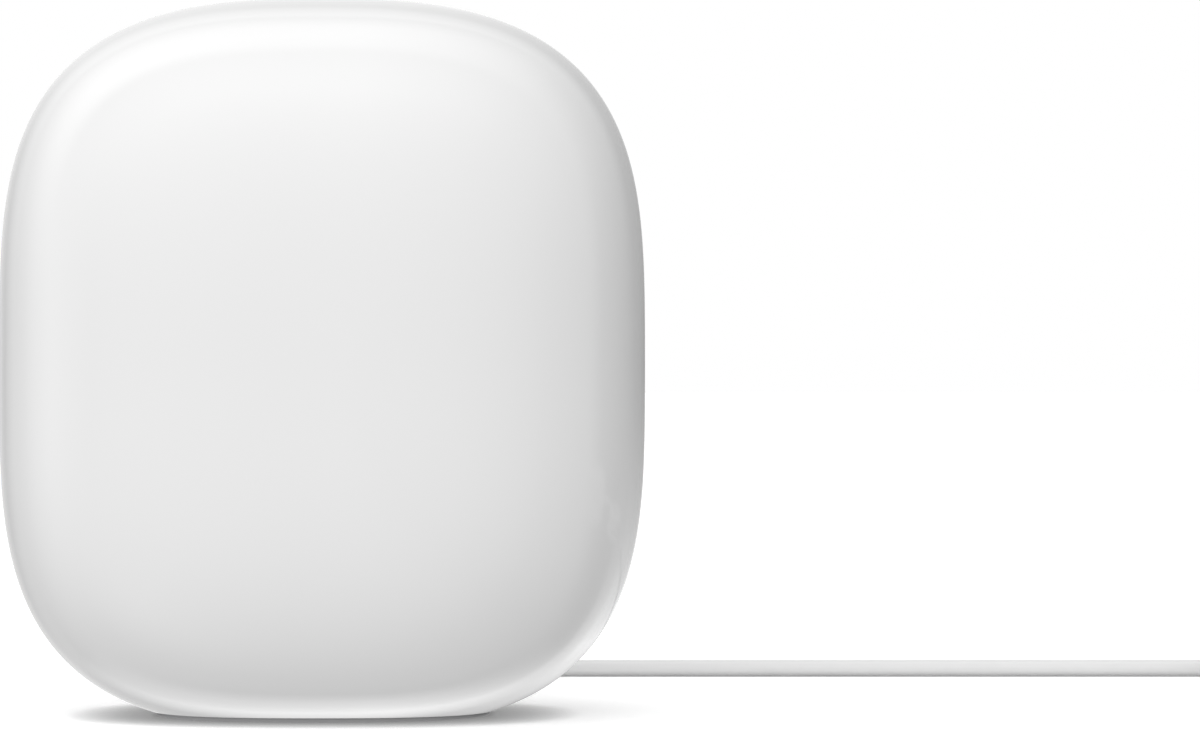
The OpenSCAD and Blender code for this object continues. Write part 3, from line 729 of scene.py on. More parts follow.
PORT_Z = RECESS["z"]
CONTACT_PITCH = 1.02
wan_low, wan_high = box_mm("wan_jack_shield")
lan_low, lan_high = box_mm("lan_jack_shield")
dc_low, dc_high = box_mm("dc_jack_housing")
reset_low, reset_high = box_mm("reset_button")
WAN_X, LAN_X = (wan_low.x + wan_high.x) / 2, (lan_low.x + lan_high.x) / 2
DC_X, RESET_X = (dc_low.x + dc_high.x) / 2, (reset_low.x + reset_high.x) / 2
PANEL_Y = panel_high.y
AT_DC, AT_RESET = (DC_X, 0, PORT_Z), (RESET_X, 0, PORT_Z)


def tube(route, r, count=12):
    """A round rod along the points of a route."""
    points = [Vector(p) for p in route]
    rings = []
    side = None
    for i, p in enumerate(points):
        along = (points[min(i + 1, len(points) - 1)] - points[max(i - 1, 0)]).normalized()
        if side is None:
            side = along.orthogonal().normalized()
            side = Vector((1, 0, 0)) if abs(along.x) < 0.9 else side
        side = (side - along * side.dot(along)).normalized()
        top = along.cross(side)
        turn = [2 * math.pi * k / count for k in range(count)]
        rings.append([p + side * (r * math.cos(t)) + top * (r * math.sin(t)) for t in turn])
    return stack(rings)


panel_holes = [rounded(panel_high.x - panel_low.x, panel_high.z - panel_low.z, 9.6, (0, PORT_Z), 12)]
for x in (WAN_X, LAN_X):
    panel_holes.append(rounded(16.2, 13.6, 0.5, (x, PORT_Z), 4))
panel_holes.append(circle(4.6, (DC_X, PORT_Z)))
panel_holes.append(circle(1.78, (RESET_X, PORT_Z), 32))
for i in range(10):
    panel_holes.append(rounded(2.4, 1.4, 0.6, (-18 + 4 * i, PORT_Z + 9.6), 4))
piece("port_panel_moulded", plate(panel_holes, panel_low.y, panel_high.y, 0.18), "matte_white", "port_panel")

for name, x in (("wan", WAN_X), ("lan", LAN_X)):
    key = [(-5.95, 4.3), (-5.95, -2.6), (-3.1, -2.6), (-3.1, -4.1), (-1.7, -4.1), (-1.7, -5.5)]
    key += [(-u, v) for u, v in reversed(key)]
    key = [(x + u, PORT_Z + v) for u, v in key]
    body = plate([rounded(15.3, 12.7, 0.3, (x, PORT_Z), 4), key], 7.0, PANEL_Y - 0.25, 0.15)
    rear = block((x - 7.65, -0.4, PORT_Z - 6.35), (x + 7.65, 7.0, PORT_Z + 6.35), 0.25)
    combs = [block((x + (i - 3.0) * CONTACT_PITCH - 0.2 - 0.51, 7.0, PORT_Z + 1.9),
                   (x + (i - 3.0) * CONTACT_PITCH + 0.2 - 0.51, 12.4, PORT_Z + 4.35), 0.06, 0.06)
                   for i in range(9)]
    piece(name + "_jack_body", joined(body, rear, *combs), "jack_black", name + "_jack_housing")
    skin = plate([rounded(16, 13.4, 0.6, (x, PORT_Z), 5), rounded(15.4, 12.8, 0.35, (x, PORT_Z), 5)], -0.4,
                 PANEL_Y, 0.08)
    folds = [block((x + sx * 8.0 - 0.06, 8.0, PORT_Z - 2.0), (x + sx * 8.0 + 0.06, 16.0, PORT_Z + 2.0), 0.04,
                   plane="yz") for sx in (-1, 1)]
    piece(name + "_jack_skin", joined(skin, *folds), "tin_plate", name + "_jack_shield")
    wires = []
    for i in range(8):
        at = x + (i - 3.5) * CONTACT_PITCH
        line = catmull([(at, 7.1, PORT_Z + 4.0), (at, 10.5, PORT_Z + 3.1), (at, 13.6, PORT_Z + 2.0),
                        (at, 15.2, PORT_Z + 1.35), (at, 15.8, PORT_Z + 1.35), (at, 16.2, PORT_Z + 1.75)], 0.5)
        wires.append(tube(line, 0.22, 10))
    piece(name + "_jack_wires", joined(*wires), "gold_plate", name + "_jack_contacts")

bore = 2.85
nose = [(1.02, PANEL_Y - 10.5), (bore, PANEL_Y - 10.5), (bore, PANEL_Y - 0.45), (3.2, PANEL_Y),
        (4.3, PANEL_Y), (4.5, PANEL_Y - 0.2), (4.5, 5.0), (1.02, 5.0)]
dc_block = plate([rounded(10, 11, 0.5, (DC_X, PORT_Z), 5), circle(4.45, (DC_X, PORT_Z))], -0.4,
                 PANEL_Y - 1.6, 0.2)
dc_back = block((DC_X - 4.9, -0.4, PORT_Z - 5.4), (DC_X + 4.9, 5.0, PORT_Z + 5.4), 0.2)
piece("dc_jack_body", joined(dc_block, dc_back, lathe(nose, AT_DC)), "jack_black", "dc_jack_housing")
pin = [(1.0, 5.0), (1.0, 18.7)] + [(math.cos(math.radians(a)), 18.7 + 0.8 * math.sin(math.radians(a)))
                                   for a in range(15, 90, 15)]
pin += [(0.04, 19.5)]
piece("dc_jack_pin_turned", lathe(pin, AT_DC, segments=32), "nickel", "dc_jack_pin")
leaf = [(10.8, 3.45), (12.6, 3.3), (14.2, 3.15), (15.8, 3.3), (17.6, 3.45)]
leaf += [(y, z - 0.14) for y, z in reversed(leaf)]
leaf = [(y, PORT_Z + z) for y, z in leaf]
piece("dc_jack_leaf", plate([leaf], DC_X - 0.8, DC_X + 0.8, 0.03, "yz"), "gold_plate", "dc_jack_spring")

end_y = reset_high.y
button = [(1.5, 4.6), (1.5, 18.3), (1.6, 18.42), (2.5, 18.42), (2.6, 18.5), (2.6, 19.35), (2.5, 19.44),
          (1.75, 19.44), (1.7, 19.5), (1.7, end_y - 0.25), (1.62, end_y - 0.07), (1.45, end_y),
          (1.2, end_y - 0.04), (0.7, end_y - 0.16), (0.1, end_y - 0.2)]
piece("reset_button_moulded", lathe(button, AT_RESET, segments=40), "matte_white", "reset_button",
      body="reset_button", sharp=50)
stem_low, stem_high = box_mm("reset_switch_stem")
stem = [(1.5, stem_low.y), (1.5, stem_high.y - 0.2), (1.35, stem_high.y)]
piece("reset_switch_plunger", lathe(stem, AT_RESET, segments=32), "stem_ivory", "reset_switch_stem",
      body="reset_button")
well = circle(1.57, (RESET_X, PORT_Z), 32)
switch = joined(
    block((RESET_X - 3, -0.4, PORT_Z - 3), (RESET_X + 3, 1.1, PORT_Z + 3), 0.1),
    plate([rounded(6, 6, 0.3, (RESET_X, PORT_Z), 4), well], 1.1, 2.9, 0.1),
    plate([rounded(5.6, 5.6, 0.3, (RESET_X, PORT_Z), 4), well], 2.85, 3.1, 0.05),
    *[lathe([(0.45, 2.9), (0.45, 3.1), (0.3, 3.2)], (RESET_X + sx * 2.1, 0, PORT_Z + sz * 2.1), segments=16)
      for sx in (-1, 1) for sz in (-1, 1)],
)
piece("reset_switch_case", switch, "jack_black", "reset_switch_body")

# ---- plug and its strain relief

barrel_low, barrel_high = box_mm("dc_plug_barrel")
grip_low, grip_high = box_mm("dc_plug_grip")
relief_low, relief_high = box_mm("dc_plug_strain_relief")
b0, b1 = barrel_low.y, barrel_high.y
barrel = [(1.9, b0 + 0.25), (2.5, b0), (2.62, b0 + 0.05), (2.75, b0 + 0.3), (2.75, b0 + 3.2),
          (2.68, b0 + 3.4), (2.68, b0 + 4.0), (2.75, b0 + 4.2), (2.75, b1), (1.9, b1)]
piece("dc_plug_barrel_turned", lathe(barrel, AT_DC), "nickel", "dc_plug_barrel", body="power_lead")
liner = [(1.06, b1 - 1.2), (1.06, b0 + 0.5), (1.3, b0 + 0.2), (1.9, b0 + 0.2), (1.9, b1)]
piece("dc_plug_liner", lathe(liner, AT_DC), "jack_black", "dc_plug_insulator", body="power_lead")
g0, g1 = grip_low.y, grip_high.y
grip = [(2.76, g0 + 0.02), (4.2, g0), (4.6, g0 + 0.12), (4.9, g0 + 0.4), (5.0, g0 + 0.8), (5.0, g0 + 2.6)]
for i in range(5):
    y = g0 + 3.0 + i * 1.5
    grip += [(5.0, y), (4.72, y + 0.2), (4.66, y + 0.45), (4.72, y + 0.7), (4.99, y + 0.9)]
grip += [(4.95, g0 + 10.8), (4.75, g0 + 12.4), (4.35, g0 + 14.2), (3.95, g0 + 16), (3.62, g1 - 0.6),
         (3.45, g1 - 0.15), (3.2, g1)]
piece("dc_plug_grip_moulded", lathe(grip, AT_DC, segments=64), "plug_white", "dc_plug_grip",
      body="power_lead", sharp=50)


def relief_piece(x, z, y0, y1, r0, r1, rungs):
    """A ribbed, tapered sleeve round the cord, with slots that let it bend."""
    profile = [(r0, y0)]
    for i in range(rungs):
        a = (i + 0.55) / (rungs + 0.4)
        y = y0 + (y1 - y0) * a
        r = r0 + (r1 - r0) * a
        profile += [(r, y - 0.5), (r - 0.1, y - 0.42), (r - 0.55, y - 0.36), (r - 0.55, y + 0.36),
                    (r - 0.1, y + 0.42), (r, y + 0.5)]
    profile += [(r1 + 0.05, y1 - 0.3), (r1 - 0.05, y1 - 0.08), (r1 - 0.25, y1)]
    bars = []
    for angle in (0, 90, 180, 270):
        u, v = math.cos(math.radians(angle)), math.sin(math.radians(angle))
        line = [(x + u * (r0 - 0.42), y0 + 0.3, z + v * (r0 - 0.42)),
                (x + u * (r1 - 0.38), y1 - 0.6, z + v * (r1 - 0.38))]
        bars.append(tube(line, 0.42, 12))
    return joined(lathe(profile, (x, 0, z), segments=48), *bars)


piece("dc_plug_relief_moulded", relief_piece(DC_X, PORT_Z, relief_low.y, relief_high.y, 3.1, 2.2, 5),
      "plug_white", "dc_plug_strain_relief", body="power_lead")

# ---- the strap round the coil


def hull_loop(circles, grow):
    """The outline of a band drawn tight round some circles, anticlockwise: (x, y, r) each."""
    cloud = [(x + (r + grow) * math.cos(2 * math.pi * k / 32),
              y + (r + grow) * math.sin(2 * math.pi * k / 32)) for x, y, r in circles for k in range(32)]
    cloud = sorted(set((round(x, 5), round(y, 5)) for x, y in cloud))

    def turns_left(a, b, p):
        return (b[0] - a[0]) * (p[1] - a[1]) - (b[1] - a[1]) * (p[0] - a[0]) > 0

    def half(points):
        out = []
        for p in points:
            while len(out) > 1 and not turns_left(out[-2], out[-1], p):
                out.pop()
            out.append(p)
        return out[:-1]

    return half(cloud) + half(cloud[::-1])


corner_cells = [(0, 0), (3, 0), (2, 3), (0, 3)]
circles = [(COIL_IN + CORD_D * c, CORD_R + CORD_D * l + TIE_LIFT, CORD_R) for c, l in corner_cells]
turn = math.radians(TIE_ANGLE)


def even_loop(loop, count):
    """The loop's points, evenly spaced."""
    total = sum(math.dist(a, b) for a, b in zip(loop, loop[1:] + loop[:1]))
    out, gone, k = [], 0.0, 0
    closed = loop + loop[:1]
    for i in range(count):
        want = total * i / count
        while gone + math.dist(closed[k], closed[k + 1]) < want:
            gone += math.dist(closed[k], closed[k + 1])
            k += 1
        share = (want - gone) / max(1e-9, math.dist(closed[k], closed[k + 1]))
        out.append(tuple(closed[k][j] + (closed[k + 1][j] - closed[k][j]) * share for j in (0, 1)))
    return out


def at_tie(r, side, z):
    return Vector((COIL_CENTRE[0] + r * math.cos(turn) - side * math.sin(turn),
                   COIL_CENTRE[1] + r * math.sin(turn) + side * math.cos(turn), z))


def band(count, half_width, low, high):
    """A flat band round the turns, from one thickness outwards to another."""
    section = [(-half_width, low), (-half_width, high - 0.08), (-half_width + 0.1, high),
               (half_width - 0.1, high), (half_width, high - 0.08), (half_width, low)]
    loops = {value: even_loop(hull_loop(circles, value), count) for value in {v for _, v in section}}
    rings = [[at_tie(loops[v][i][0], s, loops[v][i][1]) for s, v in section] for i in range(count)]
    rings.append(rings[0])
    return stack(rings, False, False)


tab_base = COIL_IN + CORD_D * 2
tab = block((-3.3, 0, 0), (3.3, 6, 0.45), 0.1, 0.8, plane="xy")
tab_points = [at_tie(tab_base - 6.5 + p.y, p.x, circles[2][1] + CORD_R + 0.42 + p.z) for p in tab[0]]
piece("cord_strap", joined(band(120, 3.4, 0.03, 0.42), (tab_points, tab[1])), "plug_white", "cord_tie",
      body="power_lead", look="strap_white")

# ---- the wall adapter

front_low, front_high = box_mm("adapter_front_case")
back_low, back_high = box_mm("adapter_rear_case")
CASE = ((front_low.x + front_high.x) / 2, (front_low.y + front_high.y) / 2)
CASE_RX, CASE_RY = (front_high.x - front_low.x) / 2, (front_high.y - front_low.y) / 2
SPLIT, CASE_TOP = front_high.z, back_high.z


def quarter(r, inset, z0, up, steps=10):
    """Insets and heights of a rounded edge, from the flat face to the side."""
    out = []
    for i in range(steps + 1):
        a = math.pi / 2 * i / steps
        out.append((inset + r * (1 - math.sin(a)), z0 + up * r * (1 - math.cos(a))))
    return out


case_front = [(20, 0.0), (12, 0.0)] + quarter(7, 0, 0,
                                              1) + [(0, 10), (0, SPLIT - 0.5), (0.06, SPLIT - 0.2),
                                                    (0.25, SPLIT), (2, SPLIT)]
case_front += [(2, 9)] + [(i + 2, z) for i, z in reversed(quarter(5, 0, 2, 1, 6))] + [(14, 2), (20, 2)]
piece("adapter_case_front", oval_stack(case_front, CASE_RX, CASE_RY, 3.2, CASE, 160), "adapter_white",
      "adapter_front_case", body="power_lead", sharp=40)
low_edge = back_low.z
case_back = [(20, CASE_TOP - 2), (6, CASE_TOP - 2), (3, CASE_TOP - 3), (2, CASE_TOP - 5), (2, low_edge),
             (0.25, low_edge), (0.06, low_edge + 0.2)]
case_back += [(0, low_edge + 0.5),
              (0, CASE_TOP - 6)] + list(reversed(quarter(3.5, 0, CASE_TOP,
                                                         -1))) + [(9, CASE_TOP), (20, CASE_TOP)]
blade_low, blade_high = box_mm("adapter_blades")
BLADE_Y = (blade_low.y + blade_high.y) / 2
plinth = plate([rounded(23, 13, 3, (CASE[0], BLADE_Y), 8)], CASE_TOP - 0.2, CASE_TOP + 0.5, 0.2, "xy")
piece("adapter_case_back", joined(oval_stack(case_back, CASE_RX, CASE_RY, 3.2, CASE, 160), plinth),
      "adapter_white", "adapter_rear_case", body="power_lead", sharp=40)
blades = []
for side in (-1, 1):
    x = CASE[0] + side * (blade_high.x - blade_low.x - 1.5) / 2
    w = (blade_high.y - blade_low.y) / 2
    shape = [(BLADE_Y - w, blade_low.z), (BLADE_Y + w, blade_low.z)]
    shape += arc(BLADE_Y + w - 2.2, blade_high.z - 2.2, 2.2, 0, 90,
                 8) + arc(BLADE_Y - w + 2.2, blade_high.z - 2.2, 2.2, 90, 180, 8)
    hole = circle(1.6, (BLADE_Y, blade_high.z - 4.3), 28)
    blades.append(plate([shape, hole], x - 0.75, x + 0.75, 0.22, "yz"))
piece("adapter_blades_pressed", joined(*blades), "nickel", "adapter_blades", body="power_lead")
sleeve_low, sleeve_high = box_mm("adapter_strain_relief")
sleeve_z = (sleeve_low.z + sleeve_high.z) / 2
piece("adapter_relief_moulded", relief_piece(CASE[0], sleeve_z, sleeve_low.y, sleeve_high.y, 3.4, 2.2, 5),
      "plug_white", "adapter_strain_relief", body="power_lead")

# ---- screws and base


THREAD_PITCH, THREAD_DEPTH = 0.55, 0.28


def screw(centre, axis, head_r, head_t, shaft_r, length):
    """A pan-head screw with a hexagon recess and a wound thread; the head faces along the negative axis."""
    profile = [(0.05, head_t * 0.5), (1.1, head_t * 0.5), (1.12, 0.0)]
    for share in (0.0, 0.3, 0.6, 0.85, 1.0):
        profile.append((head_r - 0.55 * (1 - share) ** 2,
                        head_t * 0.55 * share + (0.0 if share == 0 else 0.02)))
    profile += [(head_r, head_t - 0.1), (head_r - 0.08, head_t), (shaft_r - 0.08, head_t),
                (shaft_r - 0.08, head_t + 0.35)]
    steps = max(6, int((length - head_t - 0.8) / 0.13))
    start = head_t + 0.45
    profile += [(shaft_r - 0.001, start + (length - 0.5 - start) * i / steps) for i in range(steps + 1)]
    profile += [(shaft_r - 0.45, length - 0.12), (0.05, length)]

    def shape(angle, r, a):
        if r <= 1.1:
            turned = (angle + math.pi / 6) % (math.pi / 3) - math.pi / 6
            return r * 0.9 / math.cos(turned)
        if abs(r - (shaft_r - 0.001)) < 1e-6:
            ramp = (a / THREAD_PITCH - angle / (2 * math.pi)) % 1.0
            return shaft_r - THREAD_DEPTH * abs(2 * ramp - 1)
        return r

    return lathe(profile, centre, axis, 24, shape)


def node_screws(node, centres, axis, head_r, head_t, shaft_r):
    low, high = box_mm(node)
    k = "xyz".index(axis)
    length = high[k] - low[k]
    made = []
    for centre in centres:
        centre = list(centre)
        centre[k] = low[k]
        made.append(screw(centre, axis, head_r, head_t, shaft_r, length))
    piece(node + "_turned", joined(*made), "screw_steel", node, sharp=30)


BASE_SCREWS = [(sx * 20, sy * 6, 0) for sx in (-1, 1) for sy in (-1, 1)]
BOARD_SCREWS = [(sx * 35, 0, z) for sx in (-1, 1) for z in (34, 92)]
base_low, base_high = box_mm("base_plate")
base_ovals = [oval(base_high.x - k, base_high.y - k, SECTION, 128) for k in (0.0, 2.3)]
base_holes = [circle(1.6, at, 24) for at in BASE_SCREWS]
ring = plate(base_ovals, base_low.z, base_low.z + 0.9, 0.12, "xy")
deck = plate([base_ovals[0]] + base_holes, base_low.z + 0.8, base_high.z, 0.15, "xy")
piece("base_plate_moulded", joined(ring, deck), "base_grey", "base_plate")
node_screws("base_screws", BASE_SCREWS, "z", 2.7, 1.05, 1.4)

# ---- chassis frame and main board

FRAME_INSET, FRAME_BAND = 4.2, 4.8
frame_low, frame_high = box_mm("chassis_frame")
board_low, board_high = box_mm("main_board")


def side_line(inset, low, steps=26):
    """Half of the pebble's front outline, from a height up to the top: (x, z)."""
    out = []
    crown = CROWN - inset
    for i in range(steps):
        out.append(low + (WAIST - low) * (1 - (1 - i / steps) ** 2))
    for i in range(steps * 2 + 1):
        out.append(WAIST + crown * min(1 - 1e-7,
                                       math.sin(math.pi / 2 * i / (steps * 2)) ** (2 / WIDE["crown"][1])))
    return [(half_of(WIDE, z, inset)[0], z) for z in out]


outer_line = side_line(FRAME_INSET, frame_low.z)
inner_line = side_line(FRAME_INSET + FRAME_BAND, WAIST - TUCK + FRAME_INSET + FRAME_BAND + 0.02)
c_shape = [(14, frame_low.z)] + outer_line + [(-x, z) for x, z in reversed(outer_line)] + [(-14, frame_low.z)]
c_shape += [(-14, inner_line[0][1])] + [(-x, z) for x,
                                        z in inner_line] + [(x, z) for x, z in reversed(inner_line)]
c_shape += [(14, inner_line[0][1])]
clean = [p for i, p in enumerate(c_shape) if math.dist(p, c_shape[i - 1]) > 0.02]
frame_parts = [plate([clean], frame_low.y, frame_high.y, 0.3)]
for x, _, z in BOARD_SCREWS:
    frame_parts.append(plate([circle(4, (x, z), 40), circle(1.45, (x, z), 24)], board_high.y, frame_high.y,
                             0.2))
    side = 1 if x > 0 else -1
    low_x, high_x = sorted((side * 38.4, side * 48.5))
    frame_parts.append(block((low_x, board_high.y + 0.6, z - 2.9), (high_x, frame_high.y - 0.3, z + 2.9),
                             0.3, 0.6))
foot_holes = [rounded(52, 19, 2, (0, 0), 6)] + [circle(1.45, at, 24) for at in BASE_SCREWS]
frame_parts.append(plate(foot_holes, frame_low.z, frame_low.z + 5.1, 0.3, "xy"))
for x in (-23, 23):
    frame_parts.append(block((x - 0.7, -5.5, frame_low.z + 5.0), (x + 0.7, 3.5, frame_low.z + 7.5), 0.2))
piece("chassis_frame_moulded", joined(*frame_parts), "frame_plastic", "chassis_frame")

W2, LOW_R, HIGH_R = board_high.x, 22, 12
board_outline = arc(W2 - HIGH_R, board_high.z - HIGH_R, HIGH_R, 0, 90,
                    16) + arc(-W2 + HIGH_R, board_high.z - HIGH_R, HIGH_R, 90, 180, 16)
board_outline += arc(-W2 + LOW_R, board_low.z + LOW_R, LOW_R, 180, 270,
                     24) + arc(W2 - LOW_R, board_low.z + LOW_R, LOW_R, 270, 360, 24)
board_holes = [circle(1.6, (x, z), 32) for x, _, z in BOARD_SCREWS]
vias = [circle(0.3, (random.uniform(-16, 16), z), 8) for z in (24.5, 26.0, 27.5)]
piece("main_board_pressed", plate([board_outline] + board_holes + vias, board_low.y, board_high.y, 0.06),
      "board_green", "main_board")

# Ranks of small parts soldered to both faces of the board, clear of the large ones
small_black, small_tin = [], []


def small_part(x, z, w, h, t, back):
    y = board_high.y if back else board_low.y
    sign = 1 if back else -1
    low_y, high_y = sorted((y + sign * 0.03, y + sign * t))
    small_black.append(block((x - w * 0.32, low_y, z - h / 2 + 0.03),
                             (x + w * 0.32, high_y - sign * 0.02, z + h / 2 - 0.03), 0.04, 0.05))
    for end in (-1, 1):
        a, b = sorted((x + end * w * 0.33, x + end * w / 2))
        small_tin.append(block((a, min(y, y + sign * t), z - h / 2), (b, max(y, y + sign * t), z + h / 2),
                               0.05, 0.06))


for row, z in enumerate((52, 55.5, 59, 63, 67, 71, 76, 80, 84, 88)):
    for x in (33.5, 36.5, 39):
        if random.random() < 0.8:
            small_part(x * (1 if row % 2 else -1), z + random.uniform(-0.4, 0.4),
                       *random.choice([(1.6, 0.8, 0.5), (2.0, 1.2, 0.6)]), True)
for x in range(-18, 19, 4):
    small_part(x, 52.3, 1.6, 0.8, 0.5, True)
for x in (-24, -20, -16, -12, 12, 16, 20, 24):
    small_part(x, 25.5, 1.6, 0.8, 0.5, False)
    small_part(x + 1, 22.2, 2.0, 1.2, 0.6, False)
piece("board_small_bodies", joined(*small_black), "chip_black")
piece("board_small_ends", joined(*small_tin), "tin_plate")
node_screws("board_screws", BOARD_SCREWS, "y", 2.7, 1.6, 1.4)

# ---- heat sinks


def fin(x, base_y, tip_y, z0, z1):
    """A plate fin with rounded free corners."""
    sign = 1 if tip_y > base_y else -1
    r = 3.0
    far = tip_y - sign * r
    outline = [(base_y - sign * 0.1, z0), (far, z0)]
    if sign > 0:
        outline += arc(far, z0 + r, r, -90, 0, 6)[1:] + arc(far, z1 - r, r, 0, 90, 6)
    else:
        outline += list(reversed(arc(far, z0 + r, r, 180, 270,
                                     6)))[1:] + list(reversed(arc(far, z1 - r, r, 90, 180, 6)))
    outline += [(base_y - sign * 0.1, z1)]
    return plate([outline], x - 0.75, x + 0.75, 0.2, "yz")


sink = [plate([rounded(80, 69, 3, (0, 63.5), 8)] + board_holes, -8.3, -5.3, 0.25)]
sink += [fin(x, -8.3, -18.3, 31, 96) for x in range(-28, 29, 7)]
for x, _, z in BOARD_SCREWS:
    sink.append(plate([circle(3.5, (x, z), 32), circle(1.6, (x, z), 32)], -5.5, -2.0, 0.15))
piece("front_heat_sink_cast", joined(*sink), "sink_aluminium", "front_heat_sink")
rear_holes = [circle(1.3, (x, 77), 24) for x in (-28, 28)]
sink = [plate([rounded(60, 43, 2.5, (0, 77.5), 8)] + rear_holes, 1.6, 4.2, 0.25)]
sink += [fin(-24.5 + 7 * i, 4.2, 16, 58, 97) for i in range(8)]
piece("rear_heat_sink_cast", joined(*sink), "sink_aluminium", "rear_heat_sink")
sink_screw_low, sink_screw_high = box_mm("rear_heat_sink_screws")
rear_screws = []
for x in (-28, 28):
    points, faces = screw((x, 0, 77), "y", 2.0, 1.2, 1.1, sink_screw_high.y - sink_screw_low.y)
    rear_screws.append(([Vector((p.x, sink_screw_high.y - p.y, p.z)) for p in points], faces))
piece("rear_heat_sink_screws_turned", joined(*rear_screws), "screw_steel", "rear_heat_sink_screws", sharp=30)
pads = [block((-13, -5.3, 55), (13, -4.6, 81), 0.15, 0.8), block((-12, -0.4, 56), (12, 1.6, 80), 0.3, 0.8)]
pads += [block((x - 7, -5.3, 50), (x + 7, -4.6, 82), 0.15, 0.8) for x in (-28.5, 28.5)]
piece("thermal_pads_cut", joined(*pads), "thermal_pad", "thermal_pads")

# ---- shields, chips and radio parts


VENT_PITCH = 2.6


def shield(x0, x1, z0, z1):
    """A pressed shield lid with rounded folds and rows of round vents."""
    middle = ((x0 + x1) / 2, (z0 + z1) / 2)
    w, h = x1 - x0, z1 - z0
    lid = [rounded(w, h, 0.8, middle, 5)]
    across, up = int((w - 4) / VENT_PITCH), int((h - 4) / VENT_PITCH)
    for i in range(across + 1):
        for j in range(up + 1):
            at = (middle[0] + (i - across / 2) * VENT_PITCH, middle[1] + (j - up / 2) * VENT_PITCH)
            if (i + j) % 2 == 0:
                lid.append(circle(0.5, at, 12))
    wall = [rounded(w, h, 0.8, middle, 5), rounded(w - 0.6, h - 0.6, 0.5, middle, 5)]
    return joined(plate(lid, -4.6, -4.3, 0.1), plate(wall, -4.4, board_low.y, 0.05))


piece("processor_shield_pressed", shield(-16, 16, 52, 84), "tin_plate", "processor_shield")
piece("radio_shields_pressed", joined(shield(-38.5, -18.5, 46, 86), shield(18.5, 38.5, 46, 86)), "tin_plate",
      "radio_shields")


def chip(x, z, w, h, t):
    """A moulded package on the board's front: a stepped body with a dimple that marks pin one."""
    y = board_low.y
    base = block((x - w / 2, y - t * 0.35, z - h / 2), (x + w / 2, y, z + h / 2), 0.05, 0.15)
    dimple = circle(0.3, (x - w / 2 + 0.9, z + h / 2 - 0.9), 16)
    top = plate([rounded(w - 0.16, h - 0.16, 0.2, (x, z), 3), dimple], y - t, y - t * 0.3, 0.06)
    return joined(base, top)


CHIPS = {
    "processor_chip": [(-3, 70, 17, 17, 1.4)],
    "memory_chips": [(11, 70, 8, 12, 1.1), (-3, 57, 11, 7, 1.1)],
    "radio_chips": [(x, 58, 10, 10, 1) for x in (-28.5, 28.5)],
    "front_end_modules": [(x, z, 4, 3, 0.8) for x in (-33, -24, 24, 33) for z in (70, 79)],
}
for node, packages in CHIPS.items():
    piece(node + "_moulded", joined(*[chip(*p) for p in packages]), "chip_black", node)

SOCKETS, COAX_Z = [-27, -12, 12, 27], 101
socket = [(0.15, -2.0), (1.0, -2.0), (1.0, -2.35), (0.82, -2.5), (0.82, -2.75), (1.0, -2.85), (1.0, -3.1),
          (0.9, -3.2), (0.6, -3.2), (0.6, -2.3), (0.15, -2.3)]
piece("coax_sockets_turned", joined(*[lathe(socket, (x, 0, COAX_Z), segments=24) for x in SOCKETS]),
      "gold_plate", "coax_sockets")
cables = []
cap = [(0.1, -3.2), (1.22, -3.2), (1.3, -3.3), (1.3, -4.05), (1.18, -4.2), (0.1, -4.2)]
for side in (-1, 1):
    runs = [
        [(47, -7.75, 104), (44, -8, 105.5), (39, -8, 106.5), (33, -6.6, 105), (29, -4.6, 102.5),
         (27, -3.8, 101)],
        [(14.5, -7.75, 123), (14, -8, 119), (13, -7.9, 112), (12.2, -6, 106), (12, -4.4, 102.5),
         (12.1, -3.8, 101)],
    ]
    for run in runs:
        cables.append(tube(catmull([(side * x, y, z) for x, y, z in run], 0.7), 0.5, 12))
    cables += [lathe(cap, (side * x, 0, COAX_Z), segments=32) for x in (12, 27)]
piece("antenna_cables_drawn", joined(*cables), "coax_grey", "antenna_cables")


def between(line, low, high, which):
    """The stretch of an outline between two values of x or z, with its ends cut square."""
    out = []
    for a, b in zip(line, line[1:]):
        for limit in (low, high):
            if min(a[which], b[which]) < limit < max(a[which], b[which]):
                share = (limit - a[which]) / (b[which] - a[which])
                out.append((a[0] + (b[0] - a[0]) * share, a[1] + (b[1] - a[1]) * share))
        if low <= b[which] <= high:
            out.append(b)
    return out


film_out, film_in = side_line(FRAME_INSET + 0.4, 20, 40), side_line(FRAME_INSET + FRAME_BAND - 0.4, 20, 40)
flank = between(film_out, 88, 108, 1) + list(reversed(between(film_in, 88, 108, 1)))
crown_part = between(film_out, 6, 36, 0) + list(reversed(between(film_in, 6, 36, 0)))
for name, outline, side in (("antenna_left", flank, -1), ("antenna_right", flank, 1),
                            ("antenna_top_left", crown_part, -1), ("antenna_top_right", crown_part, 1)):
    shape = [(side * x, z) for x, z in outline]
    piece(name + "_film", plate([shape], frame_low.y - 0.3, frame_low.y, 0.02), "antenna_film", name)

